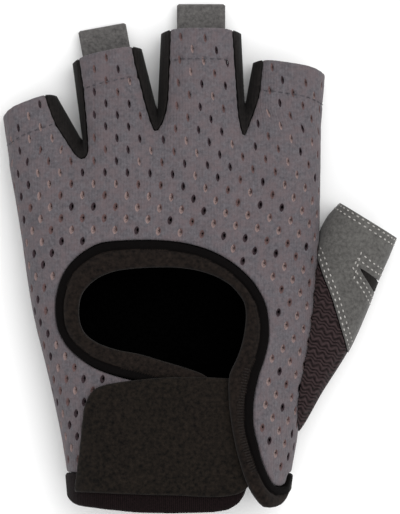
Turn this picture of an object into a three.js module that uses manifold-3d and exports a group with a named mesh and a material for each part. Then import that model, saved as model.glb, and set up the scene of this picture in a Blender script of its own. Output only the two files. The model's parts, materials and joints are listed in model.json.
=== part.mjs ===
// Fingerless weightlifting glove for the left hand, lying palm down with the form a hand gave it.
// Millimetres, +Z up. +Y runs from the wrist to the fingers and +X to the thumb side.
// The origin is on the flat of the palm that the glove rests on, under the middle of the glove.
// The hand is one soft skin, cut along its seams into perforated back, suede palm and finger side
// strips. Tape, strap, wrist band and pull tabs lie on that skin, and the thumb is a second skin
// that joins the side of the hand.
import * as THREE from "three";
import { mergeVertices } from "three/addons/utils/BufferGeometryUtils.js";
import Module from "manifold-3d";

// Overall sizes. The tables below hold places as shares of these three.
const gloveLength = 150; // wrist hem to the hem of the middle finger
const knuckleWidth = 97; // across the roots of the four fingers
const gloveDepth = 30; // palm to back at the thickest place

// Cloth and tape.
const backThickness = 1.5; // perforated knit of the back
const palmThickness = 1.8; // suede of the palm with its thin padding
const sideThickness = 1.2; // stretch strips between the fingers
const thumbThickness = 1.6; // suede of the thumb
const gussetThickness = 1.9; // ribbed stretch piece beside the thumb
const ventThickness = 0.8; // stretch piece behind the slot in the thumb
const strapThickness = 1.6;
const tapeThickness = 2.4; // binding round the opening in the back
const bandThickness = 2.4; // hem round the wrist
const tapeProud = 0.7; // binding and hem stand this far above the knit
const seamGap = 0.3; // clearance between neighbouring pieces

// Other sizes that can be set by themselves.
const tabWidth = 15;
const tabReach = 8; // how far a pull tab stands out past the finger hem
const tabSeam = 6; // how far it reaches inside the finger
const tabThickness = 1.2;
const tabFlatness = 0.85; // how flat it is at its end, from 0, as round as the finger, to 1
const ventBreadth = 3.6; // slot in the outer side of the thumb
const ventHeight = 17;
const ventOverlap = 2.5; // its stretch piece reaches this far past the slot
const eyeletBreadth = 1.5;
const eyeletHeight = 2.7;
const eyeletPitch = 13.2; // from one eyelet to the next in a row, twice the real pitch
const eyeletRowPitch = 7.1;
const eyeletLean = 0.08; // how far a column of eyelets moves over for each millimetre up
const eyeletFan = 0.0023; // and how much more it leans for each millimetre across
const eyeletMargin = 3.2; // plain cloth along every seam
const eyeletSideMargin = 6; // and along the sides of the hand, seen from above
const hemCrown = 1.8; // a finger hem reaches this much further at its middle than at its sides
const palmFlatness = 1.0; // the palm is pressed this far flat where it rests
const seamHeight = 0.283 * gloveDepth; // height of the side seam between back and palm
const stripTurn = 0.417 * gloveDepth; // below this height the finger strips are broader
const stripPalmSpread = 2.2; // by this much on either side
const restRise = 4; // height over which the hem's proud edge begins above the table
const flapFade = 10; // breadth over which the lifted flap comes down to the hand

// How round the sections are: 2 is an ellipse, and more is squarer.
const palmSquareness = 2.7;
const fingerSquareness = 2.3;
const thumbSquareness = 2.3;

// Steps of the faceted surfaces.
const fingerSteps = 6; // across one finger, from side to side
const thumbSteps = 20; // round the thumb
const thumbRows = 7;
const rootRows = 6; // where the hand divides into fingers
const fingerRows = 4;
const ventSteps = 12;
const endReach = 20; // cutting shapes reach this far past the ends of the glove

const alongShare = (share) => share * gloveLength;
const acrossShare = (share) => share * knuckleWidth;
const depthShare = (share) => share * gloveDepth;

// The hand from the wrist to the root of the fingers. up is a share of the length, left and right
// of the width, and top and side are heights as shares of the depth.
const palmRows = [
  { up: -0.533, left: -0.416, right: 0.278, top: 0.98, side: 0.43 },
  { up: -0.461, left: -0.422, right: 0.288, top: 0.99, side: 0.43 },
  { up: -0.378, left: -0.441, right: 0.31, top: 1.0, side: 0.43 },
  { up: -0.296, left: -0.467, right: 0.326, top: 1.0, side: 0.43 },
  { up: -0.213, left: -0.497, right: 0.355, top: 1.0, side: 0.43 },
  { up: -0.13, left: -0.529, right: 0.375, top: 0.99, side: 0.43 },
  { up: -0.048, left: -0.551, right: 0.379, top: 0.97, side: 0.42 },
  { up: 0.035, left: -0.569, right: 0.382, top: 0.94, side: 0.41 },
];
// The last of those rows is straight, and the hand runs on from it to the curved finger roots.
const rootTop = 0.79;
const rootSide = 0.4;
const rootEase = 2; // how the rows crowd towards the finger roots
const webSharpness = 6; // how late the hollow between two fingers sets in
const fingerRoots = [
  { across: -0.61, up: 0.2 },
  { across: -0.377, up: 0.242 },
  { across: -0.137, up: 0.306 },
  { across: 0.144, up: 0.318 },
  { across: 0.387, up: 0.267 },
];
// Each finger ends in a hem. left and right are its two side points there, and depth its height.
const fingers = [
  { left: [-0.631, 0.291], right: [-0.457, 0.333], depth: 0.62, tab: "" },
  { left: [-0.409, 0.399], right: [-0.185, 0.43], depth: 0.67, tab: "pull_tab_ring" },
  { left: [-0.126, 0.461], right: [0.133, 0.461], depth: 0.69, tab: "pull_tab_middle" },
  { left: [0.168, 0.401], right: [0.4, 0.378], depth: 0.66, tab: "" },
];
const hemLift = 0.012; // share of the depth by which a finger hem is clear of the table

// The thumb, from inside the hand to its hem. near and far are the points of its two sides, and
// middle and rise the height of its axis and half its depth as shares of the depth.
const thumbSections = [
  { at: 0.0, nearX: 0.112, nearY: -0.265, farX: 0.23, farY: -0.403, middle: 0.42, rise: 0.22 },
  { at: 0.17, nearX: 0.23, nearY: -0.234, farX: 0.316, farY: -0.366, middle: 0.42, rise: 0.27 },
  { at: 0.37, nearX: 0.294, nearY: -0.151, farX: 0.399, farY: -0.277, middle: 0.41, rise: 0.31 },
  { at: 0.56, nearX: 0.329, nearY: -0.068, farX: 0.479, farY: -0.192, middle: 0.39, rise: 0.34 },
  { at: 0.72, nearX: 0.355, nearY: -0.002, farX: 0.534, farY: -0.114, middle: 0.375, rise: 0.345 },
  { at: 0.84, nearX: 0.377, nearY: 0.045, farX: 0.575, farY: -0.045, middle: 0.36, rise: 0.335 },
  { at: 0.92, nearX: 0.406, nearY: 0.083, farX: 0.604, farY: -0.002, middle: 0.352, rise: 0.325 },
  { at: 1.0, nearX: 0.447, nearY: 0.112, farX: 0.63, farY: 0.039, middle: 0.35, rise: 0.32 },
];
const ventAt = 0.84; // the slot's place along the thumb
const ventSlant = -12; // degrees by which it leans towards the hem at the top

// Seam lines seen from above, as [across, up] shares. A finger strip reaches from the first point
// on one finger, past its tip on the hand, to the last point on the next finger.
const sideStrips = [
  {
    name: "little_ring",
    line: [
      [-0.535, 0.4], [-0.498, 0.341], [-0.463, 0.279], [-0.428, 0.242], [-0.393, 0.209],
      [-0.377, 0.203], [-0.361, 0.211], [-0.361, 0.242], [-0.368, 0.304], [-0.377, 0.358],
      [-0.391, 0.42],
    ],
  },
  {
    name: "ring_middle",
    line: [
      [-0.224, 0.47], [-0.206, 0.4], [-0.189, 0.358], [-0.173, 0.316], [-0.15, 0.269],
      [-0.141, 0.26], [-0.129, 0.269], [-0.115, 0.29], [-0.106, 0.318], [-0.102, 0.358],
      [-0.094, 0.5],
    ],
  },
  {
    name: "middle_index",
    line: [
      [0.102, 0.5], [0.112, 0.407], [0.117, 0.358], [0.123, 0.304], [0.129, 0.275],
      [0.141, 0.25], [0.16, 0.281], [0.173, 0.304], [0.187, 0.333], [0.195, 0.374],
      [0.206, 0.45],
    ],
  },
];
// The opening in the back. The inner edge of its tape runs from the hem up the left flap, round
// the opening and down the right flap to the side of the hand, and the outer edge comes back.
const tapeInner = [
  [0.04, -0.6], [0.055, -0.44], [0.058, -0.33], [0.045, -0.265], [0.015, -0.243],
  [-0.05, -0.227], [-0.128, -0.212],
  [-0.19, -0.2], [-0.256, -0.192], [-0.3, -0.184], [-0.336, -0.174], [-0.371, -0.155],
  [-0.387, -0.126], [-0.384, -0.089], [-0.364, -0.064], [-0.32, -0.041], [-0.256, -0.027],
  [-0.144, -0.021], [-0.048, -0.023], [0.032, -0.035], [0.09, -0.054], [0.128, -0.079],
  [0.144, -0.099], [0.147, -0.13], [0.137, -0.172], [0.119, -0.207], [0.094, -0.244],
  [0.093, -0.296], [0.101, -0.341], [0.115, -0.389], [0.137, -0.44], [0.16, -0.477],
  [0.179, -0.496], [0.198, -0.51], [0.217, -0.516], [0.249, -0.513], [0.268, -0.502],
  [0.281, -0.486], [0.36, -0.484],
];
const tapeOuter = [
  [0.36, -0.448], [0.284, -0.449], [0.272, -0.47], [0.249, -0.473], [0.23, -0.465],
  [0.201, -0.426], [0.182, -0.384], [0.169, -0.347], [0.169, -0.296], [0.185, -0.244],
  [0.204, -0.209], [0.217, -0.172], [0.217, -0.134], [0.208, -0.099], [0.185, -0.068],
  [0.153, -0.041], [0.096, -0.01], [0.032, 0.012], [-0.048, 0.027], [-0.128, 0.033],
  [-0.224, 0.033], [-0.304, 0.029], [-0.352, 0.017], [-0.4, -0.006], [-0.438, -0.039],
  [-0.457, -0.079], [-0.46, -0.114], [-0.451, -0.151], [-0.422, -0.184], [-0.384, -0.207],
  [-0.336, -0.227], [-0.27, -0.243], [-0.19, -0.256], [-0.12, -0.268], [-0.06, -0.282],
  [-0.032, -0.31], [-0.026, -0.36], [-0.03, -0.44], [-0.045, -0.6],
];
const strapOutline = [
  [-0.387, -0.483], [-0.374, -0.398], [-0.365, -0.326], [-0.358, -0.3], [-0.348, -0.285],
  [-0.326, -0.269], [-0.281, -0.26], [-0.192, -0.252], [-0.09, -0.247], [0.05, -0.248],
  [0.14, -0.26], [0.15, -0.35], [0.175, -0.43], [0.12, -0.486], [-0.1, -0.489],
];
// The wrist hem on the back of the left flap, and how far up it reaches.
const bandTop = -0.444;
const bandOutline = [
  [-0.6, -0.444], [-0.6, -0.45], [-0.6, -0.485], [-0.422, -0.49], [-0.412, -0.504],
  [-0.39, -0.512], [-0.304, -0.519], [-0.2, -0.5255], [-0.096, -0.527], [0.038, -0.525],
  [0.09, -0.52], [0.122, -0.507], [0.141, -0.49], [0.155, -0.46], [0.155, -0.444],
];
const bandLowest = -0.476; // edge of the hem on the palm side
// The ribbed piece beside the thumb ends at this seam.
const gussetSeam = [
  [0.2, 0.06], [0.35, 0.03], [0.371, 0.004], [0.393, -0.038], [0.42, -0.083],
  [0.444, -0.134], [0.47, -0.19], [0.49, -0.25], [0.4, -0.45], [0.2, -0.45],
];
const gussetHeight = 0.3; // its lower edge, as a share of the depth

const wasm = await Module();
wasm.setup();
const lerp = THREE.MathUtils.lerp;

// A curve through a table's rows at the value of the row's own position.
function follow(rows, position, column, value) {
  const last = rows.length - 1;
  let i = 0;
  while (i < last - 1 && value > rows[i + 1][position]) i++;
  const slope = (k) => {
    const [a, b] = [rows[Math.max(k - 1, 0)], rows[Math.min(k + 1, last)]];
    return (b[column] - a[column]) / (b[position] - a[position]);
  };
  const width = rows[i + 1][position] - rows[i][position];
  const t = THREE.MathUtils.clamp((value - rows[i][position]) / width, 0, 1);
  const [t2, t3] = [t * t, t * t * t];
  return (
    (2 * t3 - 3 * t2 + 1) * rows[i][column] +
    (t3 - 2 * t2 + t) * width * slope(i) +
    (3 * t2 - 2 * t3) * rows[i + 1][column] +
    (t3 - t2) * width * slope(i + 1)
  );
}

// Height of a rounded section at a place from -1 to 1 across it.
function profile(place, squareness) {
  const clear = Math.max(0, 1 - Math.abs(place) ** squareness);
  return clear ** (1 / squareness);
}

// Where the four fingers divide the straight part of the hand, from -1 to 1.
const rootPlaces = fingerRoots.map((root) => {
  const [first, last] = [fingerRoots[0].across, fingerRoots.at(-1).across];
  return (2 * (root.across - first)) / (last - first) - 1;
});

// Place across the hand, from -1 to 1, at a share of one finger's breadth. Steps are short at the
// two outer sides, where the skin turns down.
function palmPlace(finger, share) {
  let eased = share;
  if (finger === 0) eased = 1 - Math.cos((share * Math.PI) / 2);
  if (finger === fingers.length - 1) eased = Math.sin((share * Math.PI) / 2);
  return lerp(rootPlaces[finger], rootPlaces[finger + 1], eased);
}

// A point of the plain hand at a height along it, a place across it, and face 1 for the back or
// -1 for the palm, which is pressed flat where it rests.
function palmPoint(up, place, face, row) {
  const round = profile(place, palmSquareness);
  const side = depthShare(row.side);
  const rise = face > 0 ? depthShare(row.top) - side : side + palmFlatness;
  const x = acrossShare(lerp(row.left, row.right, (place + 1) / 2));
  return new THREE.Vector3(x, alongShare(up), Math.max(0, side + face * rise * round));
}

const rootRow = { left: fingerRoots[0].across, right: fingerRoots.at(-1).across };
Object.assign(rootRow, { top: rootTop, side: rootSide });

// A point on a finger, from 0 at its root to 1 at its hem. A root is as high as the plain hand.
function fingerPoint(finger, share, along, face) {
  const { left, right, depth } = fingers[finger];
  const [rootLeft, rootRight] = [fingerRoots[finger], fingerRoots[finger + 1]];
  const across = (1 - Math.cos(share * Math.PI)) / 2;
  const round = profile(2 * across - 1, fingerSquareness);
  const middle = (rootPlaces[finger] + rootPlaces[finger + 1]) / 2;
  const rootX = lerp(rootLeft.across, rootRight.across, across);
  const rootY = lerp(rootLeft.up, rootRight.up, across);
  const hemFloor = depthShare(hemLift);
  const floor = lerp(palmPoint(0, middle, -1, rootRow).z, hemFloor, along);
  const top = lerp(palmPoint(0, middle, 1, rootRow).z, depthShare(depth) + hemFloor, along);
  const side = lerp(depthShare(rootSide), hemFloor + depthShare(depth) / 2, along);
  const crown = hemCrown * along * (1 - (2 * across - 1) ** 4);
  const ahead = fingerHeading(finger).multiplyScalar(crown);
  return new THREE.Vector3(
    acrossShare(lerp(rootX, lerp(left[0], right[0], across), along)) + ahead.x,
    alongShare(lerp(rootY, lerp(left[1], right[1], across), along)) + ahead.y,
    face > 0 ? side + (top - side) * round : side - (side - floor) * round,
  );
}

// The direction of a finger, from the middle of its root to the middle of its hem.
function fingerHeading(finger) {
  const { left, right } = fingers[finger];
  const [a, b] = [fingerRoots[finger], fingerRoots[finger + 1]];
  const across = acrossShare(left[0] + right[0] - a.across - b.across);
  return new THREE.Vector3(across, alongShare(left[1] + right[1] - a.up - b.up), 0).normalize();
}

// A point between the last straight row of the palm, step 0, and the finger roots, step 1.
function rootPoint(finger, share, step, face) {
  const start = palmRows.at(-1);
  const place = palmPlace(finger, share);
  const row = {};
  for (const column of ["left", "right", "top", "side"])
    row[column] = lerp(start[column], rootRow[column], step);
  const [a, b] = [fingerRoots[finger], fingerRoots[finger + 1]];
  const part = (place - rootPlaces[finger]) / (rootPlaces[finger + 1] - rootPlaces[finger]);
  const plain = palmPoint(lerp(start.up, lerp(a.up, b.up, part), step), place, face, row);
  const root = fingerPoint(finger, share, 0, face);
  root.y = lerp(alongShare(start.up), root.y, step);
  return plain.lerp(root, step ** webSharpness);
}

// Joins grids of points, each an array of rows, into one surface with shared corners and outward
// normals. A grid is turned over where its rows run the other way round.
function surfaceOf(grids) {
  const corners = [];
  for (const { rows, turned } of grids)
    for (let j = 0; j + 1 < rows.length; j++)
      for (let i = 0; i + 1 < rows[j].length; i++) {
        const [a, b, c, d] = [rows[j][i], rows[j][i + 1], rows[j + 1][i + 1], rows[j + 1][i]];
        corners.push(...(turned ? [a, c, b, a, d, c] : [a, b, c, a, c, d]));
      }
  const surface = mergeVertices(new THREE.BufferGeometry().setFromPoints(corners), 1e-3);
  surface.computeVertexNormals();
  return surface;
}

const shares = Array.from({ length: fingerSteps + 1 }, (_, i) => i / fingerSteps);
const stepsTo = (count) => Array.from({ length: count }, (_, i) => (i + 1) / count);

function handSurface() {
  const grids = [];
  for (const face of [1, -1])
    fingers.forEach((_, finger) => {
      const rows = palmRows.map((row) =>
        shares.map((share) => palmPoint(row.up, palmPlace(finger, share), face, row)),
      );
      for (const step of stepsTo(rootRows)) {
        const eased = 1 - (1 - step) ** rootEase;
        rows.push(shares.map((share) => rootPoint(finger, share, eased, face)));
      }
      for (const along of stepsTo(fingerRows))
        rows.push(shares.map((share) => fingerPoint(finger, share, along, face)));
      grids.push({ rows, turned: face < 0 });
    });
  return surfaceOf(grids);
}

// The middle of the thumb at a place along it, half its breadth and depth, and the way across.
function thumbSection(at) {
  const value = (column) => follow(thumbSections, "at", column, at);
  const height = depthShare(value("middle"));
  const near = new THREE.Vector3(acrossShare(value("nearX")), alongShare(value("nearY")), height);
  const far = new THREE.Vector3(acrossShare(value("farX")), alongShare(value("farY")), height);
  return {
    centre: near.clone().add(far).divideScalar(2),
    across: far.clone().sub(near).normalize(),
    half: near.distanceTo(far) / 2,
    rise: depthShare(value("rise")),
  };
}

function thumbSurface() {
  const rounded = (value) => Math.sign(value) * Math.abs(value) ** (2 / thumbSquareness);
  const rows = [0, ...stepsTo(thumbRows)].map((at) => {
    const { centre, across, half, rise } = thumbSection(at);
    return Array.from({ length: thumbSteps + 1 }, (_, i) => {
      const turn = ((i % thumbSteps) / thumbSteps) * 2 * Math.PI;
      const point = centre.clone().addScaledVector(across, -half * rounded(Math.cos(turn)));
      point.z += rise * rounded(Math.sin(turn));
      return point;
    });
  });
  return surfaceOf([{ rows, turned: false }]);
}

// Edges of a surface that only one face uses, as pairs of corner numbers.
function openEdges(index) {
  const seen = new Set();
  for (let i = 0; i < index.length; i += 3)
    for (let k = 0; k < 3; k++) seen.add(index[i + k] + ":" + index[i + ((k + 1) % 3)]);
  return [...seen]
    .map((edge) => edge.split(":").map(Number))
    .filter(([a, b]) => !seen.has(b + ":" + a));
}

function manifoldOf(points, triangles) {
  const mesh = new wasm.Mesh({
    numProp: 3,
    vertProperties: new Float32Array(points.flatMap((p) => [p.x, p.y, p.z])),
    triVerts: new Uint32Array(triangles),
  });
  return new wasm.Manifold(mesh);
}

function movedCorners(surface, offset) {
  const { position, normal } = surface.attributes;
  return Array.from({ length: position.count }, (_, i) => {
    const point = new THREE.Vector3().fromBufferAttribute(position, i);
    const out = new THREE.Vector3().fromBufferAttribute(normal, i);
    return point.clone().addScaledVector(out, typeof offset === "number" ? offset : offset(point));
  });
}

// A wall between two offsets from a surface, each a distance or a function of the place.
function wallOf(surface, outside, inside) {
  const outer = movedCorners(surface, outside);
  const inner = movedCorners(surface, inside);
  const index = Array.from(surface.index.array);
  const count = outer.length;
  const triangles = [...index];
  for (let i = 0; i < index.length; i += 3)
    triangles.push(index[i] + count, index[i + 2] + count, index[i + 1] + count);
  for (const [a, b] of openEdges(index))
    triangles.push(b, a, a + count, b, a + count, b + count);
  return manifoldOf([...outer, ...inner], triangles);
}

// The closed body that a surface wraps, with each open end closed by a flat fan.
function filledOf(surface, offset) {
  const points = movedCorners(surface, offset);
  const triangles = Array.from(surface.index.array);
  const next = new Map(openEdges(triangles));
  while (next.size) {
    const loop = [next.keys().next().value];
    while (next.has(loop.at(-1))) {
      const corner = loop.at(-1);
      loop.push(next.get(corner));
      next.delete(corner);
    }
    const middle = new THREE.Vector3();
    for (const corner of loop.slice(1)) middle.addScaledVector(points[corner], 1 / (loop.length - 1));
    points.push(middle);
    for (let i = 0; i + 1 < loop.length; i++) triangles.push(loop[i + 1], loop[i], points.length - 1);
  }
  return manifoldOf(points, triangles);
}

function solidOf(geometry) {
  geometry.deleteAttribute("normal");
  geometry.deleteAttribute("uv");
  const merged = mergeVertices(geometry, 1e-4);
  const mesh = new wasm.Mesh({
    numProp: 3,
    vertProperties: merged.attributes.position.array,
    triVerts: new Uint32Array(merged.index.array),
  });
  return new wasm.Manifold(mesh);
}

const pointsOf = (line) =>
  line.map(([across, up]) => new THREE.Vector2(acrossShare(across), alongShare(up)));

// The outline grown by a distance, or shrunk where it is negative.
function grown(outline, distance) {
  const turning = THREE.ShapeUtils.isClockWise(outline) ? -1 : 1;
  return outline.map((point, i) => {
    const before = outline.at(i - 1);
    const after = outline[(i + 1) % outline.length];
    const way = after.clone().sub(before).normalize();
    return point.clone().add(new THREE.Vector2(way.y, -way.x).multiplyScalar(distance * turning));
  });
}

// An upright block over an outline, between two heights.
function block(outline, low, high) {
  const geometry = new THREE.ExtrudeGeometry(new THREE.Shape(outline), {
    depth: high - low,
    bevelEnabled: false,
  });
  return solidOf(geometry.translate(0, 0, low));
}

const reach = gloveLength; // every cutting block reaches this far past the glove
function boxBetween(x0, x1, y0, y1, z0, z1) {
  const outline = [
    new THREE.Vector2(x0, y0),
    new THREE.Vector2(x1, y0),
    new THREE.Vector2(x1, y1),
    new THREE.Vector2(x0, y1),
  ];
  return block(outline, z0, z1);
}

const above = (height) => boxBetween(-reach, reach, -reach, reach, height, reach);
const below = (height) => boxBetween(-reach, reach, -reach, reach, -reach, height);

// The right flap rides over the strap, so its skin is lifted beside the slit. The lift grows from
// nothing at the top of the opening, and fades out towards the thumb side of the hand.
const strapLow = tapeProud + seamGap;
const strapHigh = strapLow + strapThickness;
const flapLift = strapHigh + seamGap + (tapeThickness - tapeProud);
const liftFrom = { across: -0.02, up: -0.1 };
const liftFull = { across: 0.06, up: -0.205 };
const liftFadeFrom = 0.185; // across
function lift(point) {
  const ease = THREE.MathUtils.smoothstep;
  const x = point.x;
  const beside = ease(x, acrossShare(liftFrom.across), acrossShare(liftFull.across));
  const down = 1 - ease(point.y, alongShare(liftFull.up), alongShare(liftFrom.up));
  const faded = 1 - ease(x, acrossShare(liftFadeFrom), acrossShare(liftFadeFrom) + flapFade);
  return point.z > seamHeight ? flapLift * beside * down * faded : 0;
}

const hand = handSurface();
const thumb = thumbSurface();
const handFilled = filledOf(hand, seamGap);
const thumbHollow = filledOf(thumb, -thumbThickness);
const backHalf = above(seamHeight);
const palmHalf = below(seamHeight - seamGap);

const tapeRing = pointsOf([...tapeInner, ...tapeOuter]);
const openingCut = block(pointsOf([...tapeInner, [0.36, -0.6]]), 0, reach);
const stripLines = sideStrips.map(({ line }) => pointsOf(line));
function stripBlock(line, shrink) {
  const upper = block(grown(line, -shrink), stripTurn - 1, reach);
  const lower = block(grown(line, stripPalmSpread - shrink), -reach, stripTurn - shrink);
  return upper.add(lower);
}
const stripCuts = stripLines.map((line) => stripBlock(line, 0));
const bandEdge = alongShare(bandTop);
const pastBand = boxBetween(-reach, reach, -reach, bandEdge, -reach, seamHeight);
const slitLine = acrossShare(0.075); // between the two flaps
const leftFlap = boxBetween(-reach, slitLine, -reach, alongShare(liftFrom.up), 0, reach);
const pastBandLeft = boxBetween(-reach, slitLine, -reach, bandEdge, 0, reach);

function withoutStrips(solid) {
  return stripCuts.reduce((rest, cut) => rest.subtract(cut), solid);
}

// The hand seen from above, hem to hem.
const handOutline = pointsOf([
  ...palmRows.map(({ left, up }) => [left, up]),
  [fingerRoots[0].across, fingerRoots[0].up],
  ...fingers.flatMap(({ left, right }, i) => [
    left,
    right,
    [fingerRoots[i + 1].across, fingerRoots[i + 1].up],
  ]),
  ...[...palmRows].reverse().map(({ right, up }) => [right, up]),
]);

function distanceTo(outline, point) {
  const corners = outline.map((p) => new THREE.Vector3(p.x, p.y, 0));
  const place = new THREE.Vector3(point.x, point.y, 0);
  const nearest = new THREE.Vector3();
  const distances = corners.map((corner, i) => {
    const side = new THREE.Line3(corner, corners[(i + 1) % corners.length]);
    return side.closestPointToPoint(place, true, nearest).distanceTo(place);
  });
  return Math.min(...distances);
}

function isInside(outline, point) {
  let inside = false;
  outline.forEach((a, i) => {
    const b = outline[(i + 1) % outline.length];
    const crosses = a.y > point.y !== b.y > point.y;
    if (crosses && point.x < a.x + ((b.x - a.x) * (point.y - a.y)) / (b.y - a.y)) inside = !inside;
  });
  return inside;
}

// Eyelets in staggered rows wherever plain knit is wide enough for one.
function eyelets() {
  const keepOut = [tapeRing, pointsOf([...tapeInner, [0.36, -0.6]]), ...stripLines];
  const clear = (point) =>
    isInside(handOutline, point) &&
    distanceTo(handOutline, point) > eyeletSideMargin &&
    keepOut.every((line) => !isInside(line, point) && distanceTo(line, point) > eyeletMargin);
  const shapes = [];
  const rowCount = Math.ceil(gloveLength / eyeletRowPitch);
  const count = Math.ceil(knuckleWidth / eyeletPitch);
  for (let row = -rowCount; row <= rowCount; row++)
    for (let i = -count; i <= count; i++) {
      const across = (i + (Math.abs(row) % 2) / 2) * eyeletPitch;
      const up = row * eyeletRowPitch;
      const x = across + (eyeletLean + eyeletFan * across) * up;
      const y = up - eyeletLean * across - (eyeletFan * across ** 2) / 2;
      const corners = [
        new THREE.Vector2(x - eyeletBreadth / 2, y),
        new THREE.Vector2(x, y - eyeletHeight / 2),
        new THREE.Vector2(x + eyeletBreadth / 2, y),
        new THREE.Vector2(x, y + eyeletHeight / 2),
      ];
      if (clear(new THREE.Vector2(x, y))) shapes.push(new THREE.Shape(corners));
    }
  const depth = gloveDepth;
  const geometry = new THREE.ExtrudeGeometry(shapes, { depth, bevelEnabled: false });
  return solidOf(geometry.translate(0, 0, seamHeight));
}

function backPanel() {
  const wall = wallOf(hand, lift, (p) => lift(p) - backThickness);
  const tape = block(grown(tapeRing, seamGap), seamHeight, reach);
  return withoutStrips(wall.intersect(backHalf))
    .subtract(tape)
    .subtract(openingCut)
    .subtract(pastBandLeft)
    .subtract(thumbHollow)
    .subtract(eyelets());
}

function palmPanel() {
  const wall = wallOf(hand, 0, -palmThickness);
  return withoutStrips(wall.intersect(palmHalf)).subtract(pastBand).subtract(thumbHollow);
}

function sideStrip(line) {
  return wallOf(hand, 0, -sideThickness).intersect(stripBlock(line, seamGap));
}

// The tape and the hem stand proud of the knit, but not where the glove rests.
const proud = (p) => tapeProud * THREE.MathUtils.smoothstep(p.z, 0, restRise);

// The tape of the left flap lies flat under the strap, and the rest rides on the lifted skin.
function openingTape() {
  const bottom = tapeProud - tapeThickness;
  const lying = wallOf(hand, tapeProud, bottom).intersect(leftFlap);
  const riding = wallOf(hand, (p) => lift(p) + tapeProud, (p) => lift(p) + bottom);
  return riding
    .subtract(leftFlap)
    .add(lying)
    .intersect(block(tapeRing, seamHeight + seamGap, reach))
    .subtract(boxBetween(-reach, slitLine, -reach, bandEdge + seamGap, 0, reach))
    .subtract(thumbHollow);
}

function wristBand() {
  const wall = wallOf(hand, proud, (p) => proud(p) - bandThickness);
  const left = block(pointsOf(bandOutline), seamHeight, reach);
  const [low, high] = [alongShare(bandLowest), bandEdge - seamGap];
  return wall.intersect(left.add(boxBetween(-reach, reach, low, high, -reach, seamHeight)));
}

function closureStrap() {
  const wall = wallOf(hand, strapHigh, strapLow);
  return wall.intersect(block(pointsOf(strapOutline), gloveDepth / 2, reach));
}

const gussetLow = depthShare(gussetHeight);
const thumbOutside = (wall) => wall.subtract(handFilled);

function thumbSleeve() {
  const wall = wallOf(thumb, 0, -thumbThickness);
  const gusset = block(pointsOf(gussetSeam), gussetLow, reach);
  return thumbOutside(wall).subtract(gusset).subtract(ventBlock(0));
}

function thumbGusset() {
  const wall = wallOf(thumb, 0, -gussetThickness);
  const inside = block(grown(pointsOf(gussetSeam), -seamGap), gussetLow + seamGap, reach);
  return thumbOutside(wall).intersect(inside);
}

// A lens standing on end, driven out from the middle of the thumb through its outer side.
function ventBlock(spread) {
  const { centre, across } = thumbSection(ventAt);
  const [a, b] = [ventBreadth / 2 + spread, ventHeight / 2 + spread];
  const outline = new THREE.EllipseCurve(0, 0, a, b, 0, 2 * Math.PI).getPoints(ventSteps);
  const geometry = new THREE.ExtrudeGeometry(new THREE.Shape(outline.slice(0, -1)), {
    depth: acrossShare(1 / 3),
    bevelEnabled: false,
  });
  geometry.rotateX(Math.PI / 2);
  geometry.rotateZ(Math.atan2(across.y, across.x) + Math.PI / 2);
  geometry.rotateZ(THREE.MathUtils.degToRad(ventSlant));
  return solidOf(geometry.translate(centre.x, centre.y, centre.z));
}

function thumbVent() {
  const outside = -thumbThickness - seamGap;
  const spread = Math.min(ventOverlap, depthShare(0.3));
  return wallOf(thumb, outside, outside - ventThickness).intersect(ventBlock(spread));
}

// A pull tab follows the inside of its finger and runs on straight past the hem.
function pullTab(finger) {
  const rows = [0.4, 0.7, 1].map((along) =>
    shares.map((share) => fingerPoint(finger, share, along, -1)),
  );
  const heading = fingerHeading(finger);
  const hemRow = rows.at(-1);
  const lowest = Math.min(...hemRow.map(({ z }) => z));
  for (const reached of [0.5, 1])
    rows.push(
      hemRow.map(({ x, y, z }) => {
        const level = lerp(z, lowest, reached * tabFlatness);
        const ahead = reached * (tabReach + hemCrown);
        return new THREE.Vector3(x, y, level).addScaledVector(heading, ahead);
      }),
    );
  const outside = -palmThickness - seamGap;
  const wall = wallOf(surfaceOf([{ rows, turned: true }]), outside, outside - tabThickness);
  const { left, right } = fingers[finger];
  const hem = pointsOf([left, right]);
  const middle = hem[0].add(hem[1]).divideScalar(2);
  const along = new THREE.Vector2(heading.x, heading.y);
  const across = new THREE.Vector2(heading.y, -heading.x);
  const corner = (side, reached) =>
    middle.clone().addScaledVector(across, (side * tabWidth) / 2).addScaledVector(along, reached);
  const end = hemCrown + tabReach - seamGap;
  const outline = [corner(-1, -tabSeam), corner(1, -tabSeam), corner(1, end), corner(-1, end)];
  return wall.intersect(block(outline, -endReach, depthShare(rootSide)));
}

const pieces = [];
function piece(name, solid, material) {
  const { numProp, vertProperties, triVerts } = solid.getMesh();
  const points = [];
  for (let i = 0; i < vertProperties.length; i += numProp)
    points.push(vertProperties[i], vertProperties[i + 1], vertProperties[i + 2]);
  const geometry = new THREE.BufferGeometry();
  geometry.setAttribute("position", new THREE.Float32BufferAttribute(points, 3));
  geometry.setIndex(Array.from(triVerts));
  geometry.computeVertexNormals();
  const mesh = new THREE.Mesh(geometry, material);
  mesh.name = name;
  pieces.push(mesh);
}

const cloth = (color, roughness) => new THREE.MeshStandardMaterial({ color, roughness, metalness: 0 });
const knit = cloth(0x6a6468, 0.9);
const suede = cloth(0x666462, 0.95);
const blackStretch = cloth(0x1c1a19, 0.85);
const blackTape = cloth(0x1e1b19, 0.8);
const ribbed = cloth(0x2c2627, 0.75);
const tabSuede = cloth(0x625f5e, 0.95);

piece("back_panel", backPanel(), knit);
piece("palm_panel", palmPanel(), suede);
sideStrips.forEach(({ name }, i) => piece("side_strip_" + name, sideStrip(stripLines[i]), blackStretch));
piece("opening_tape", openingTape(), blackTape);
piece("wrist_band", wristBand(), blackTape);
piece("closure_strap", closureStrap(), blackTape);

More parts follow.
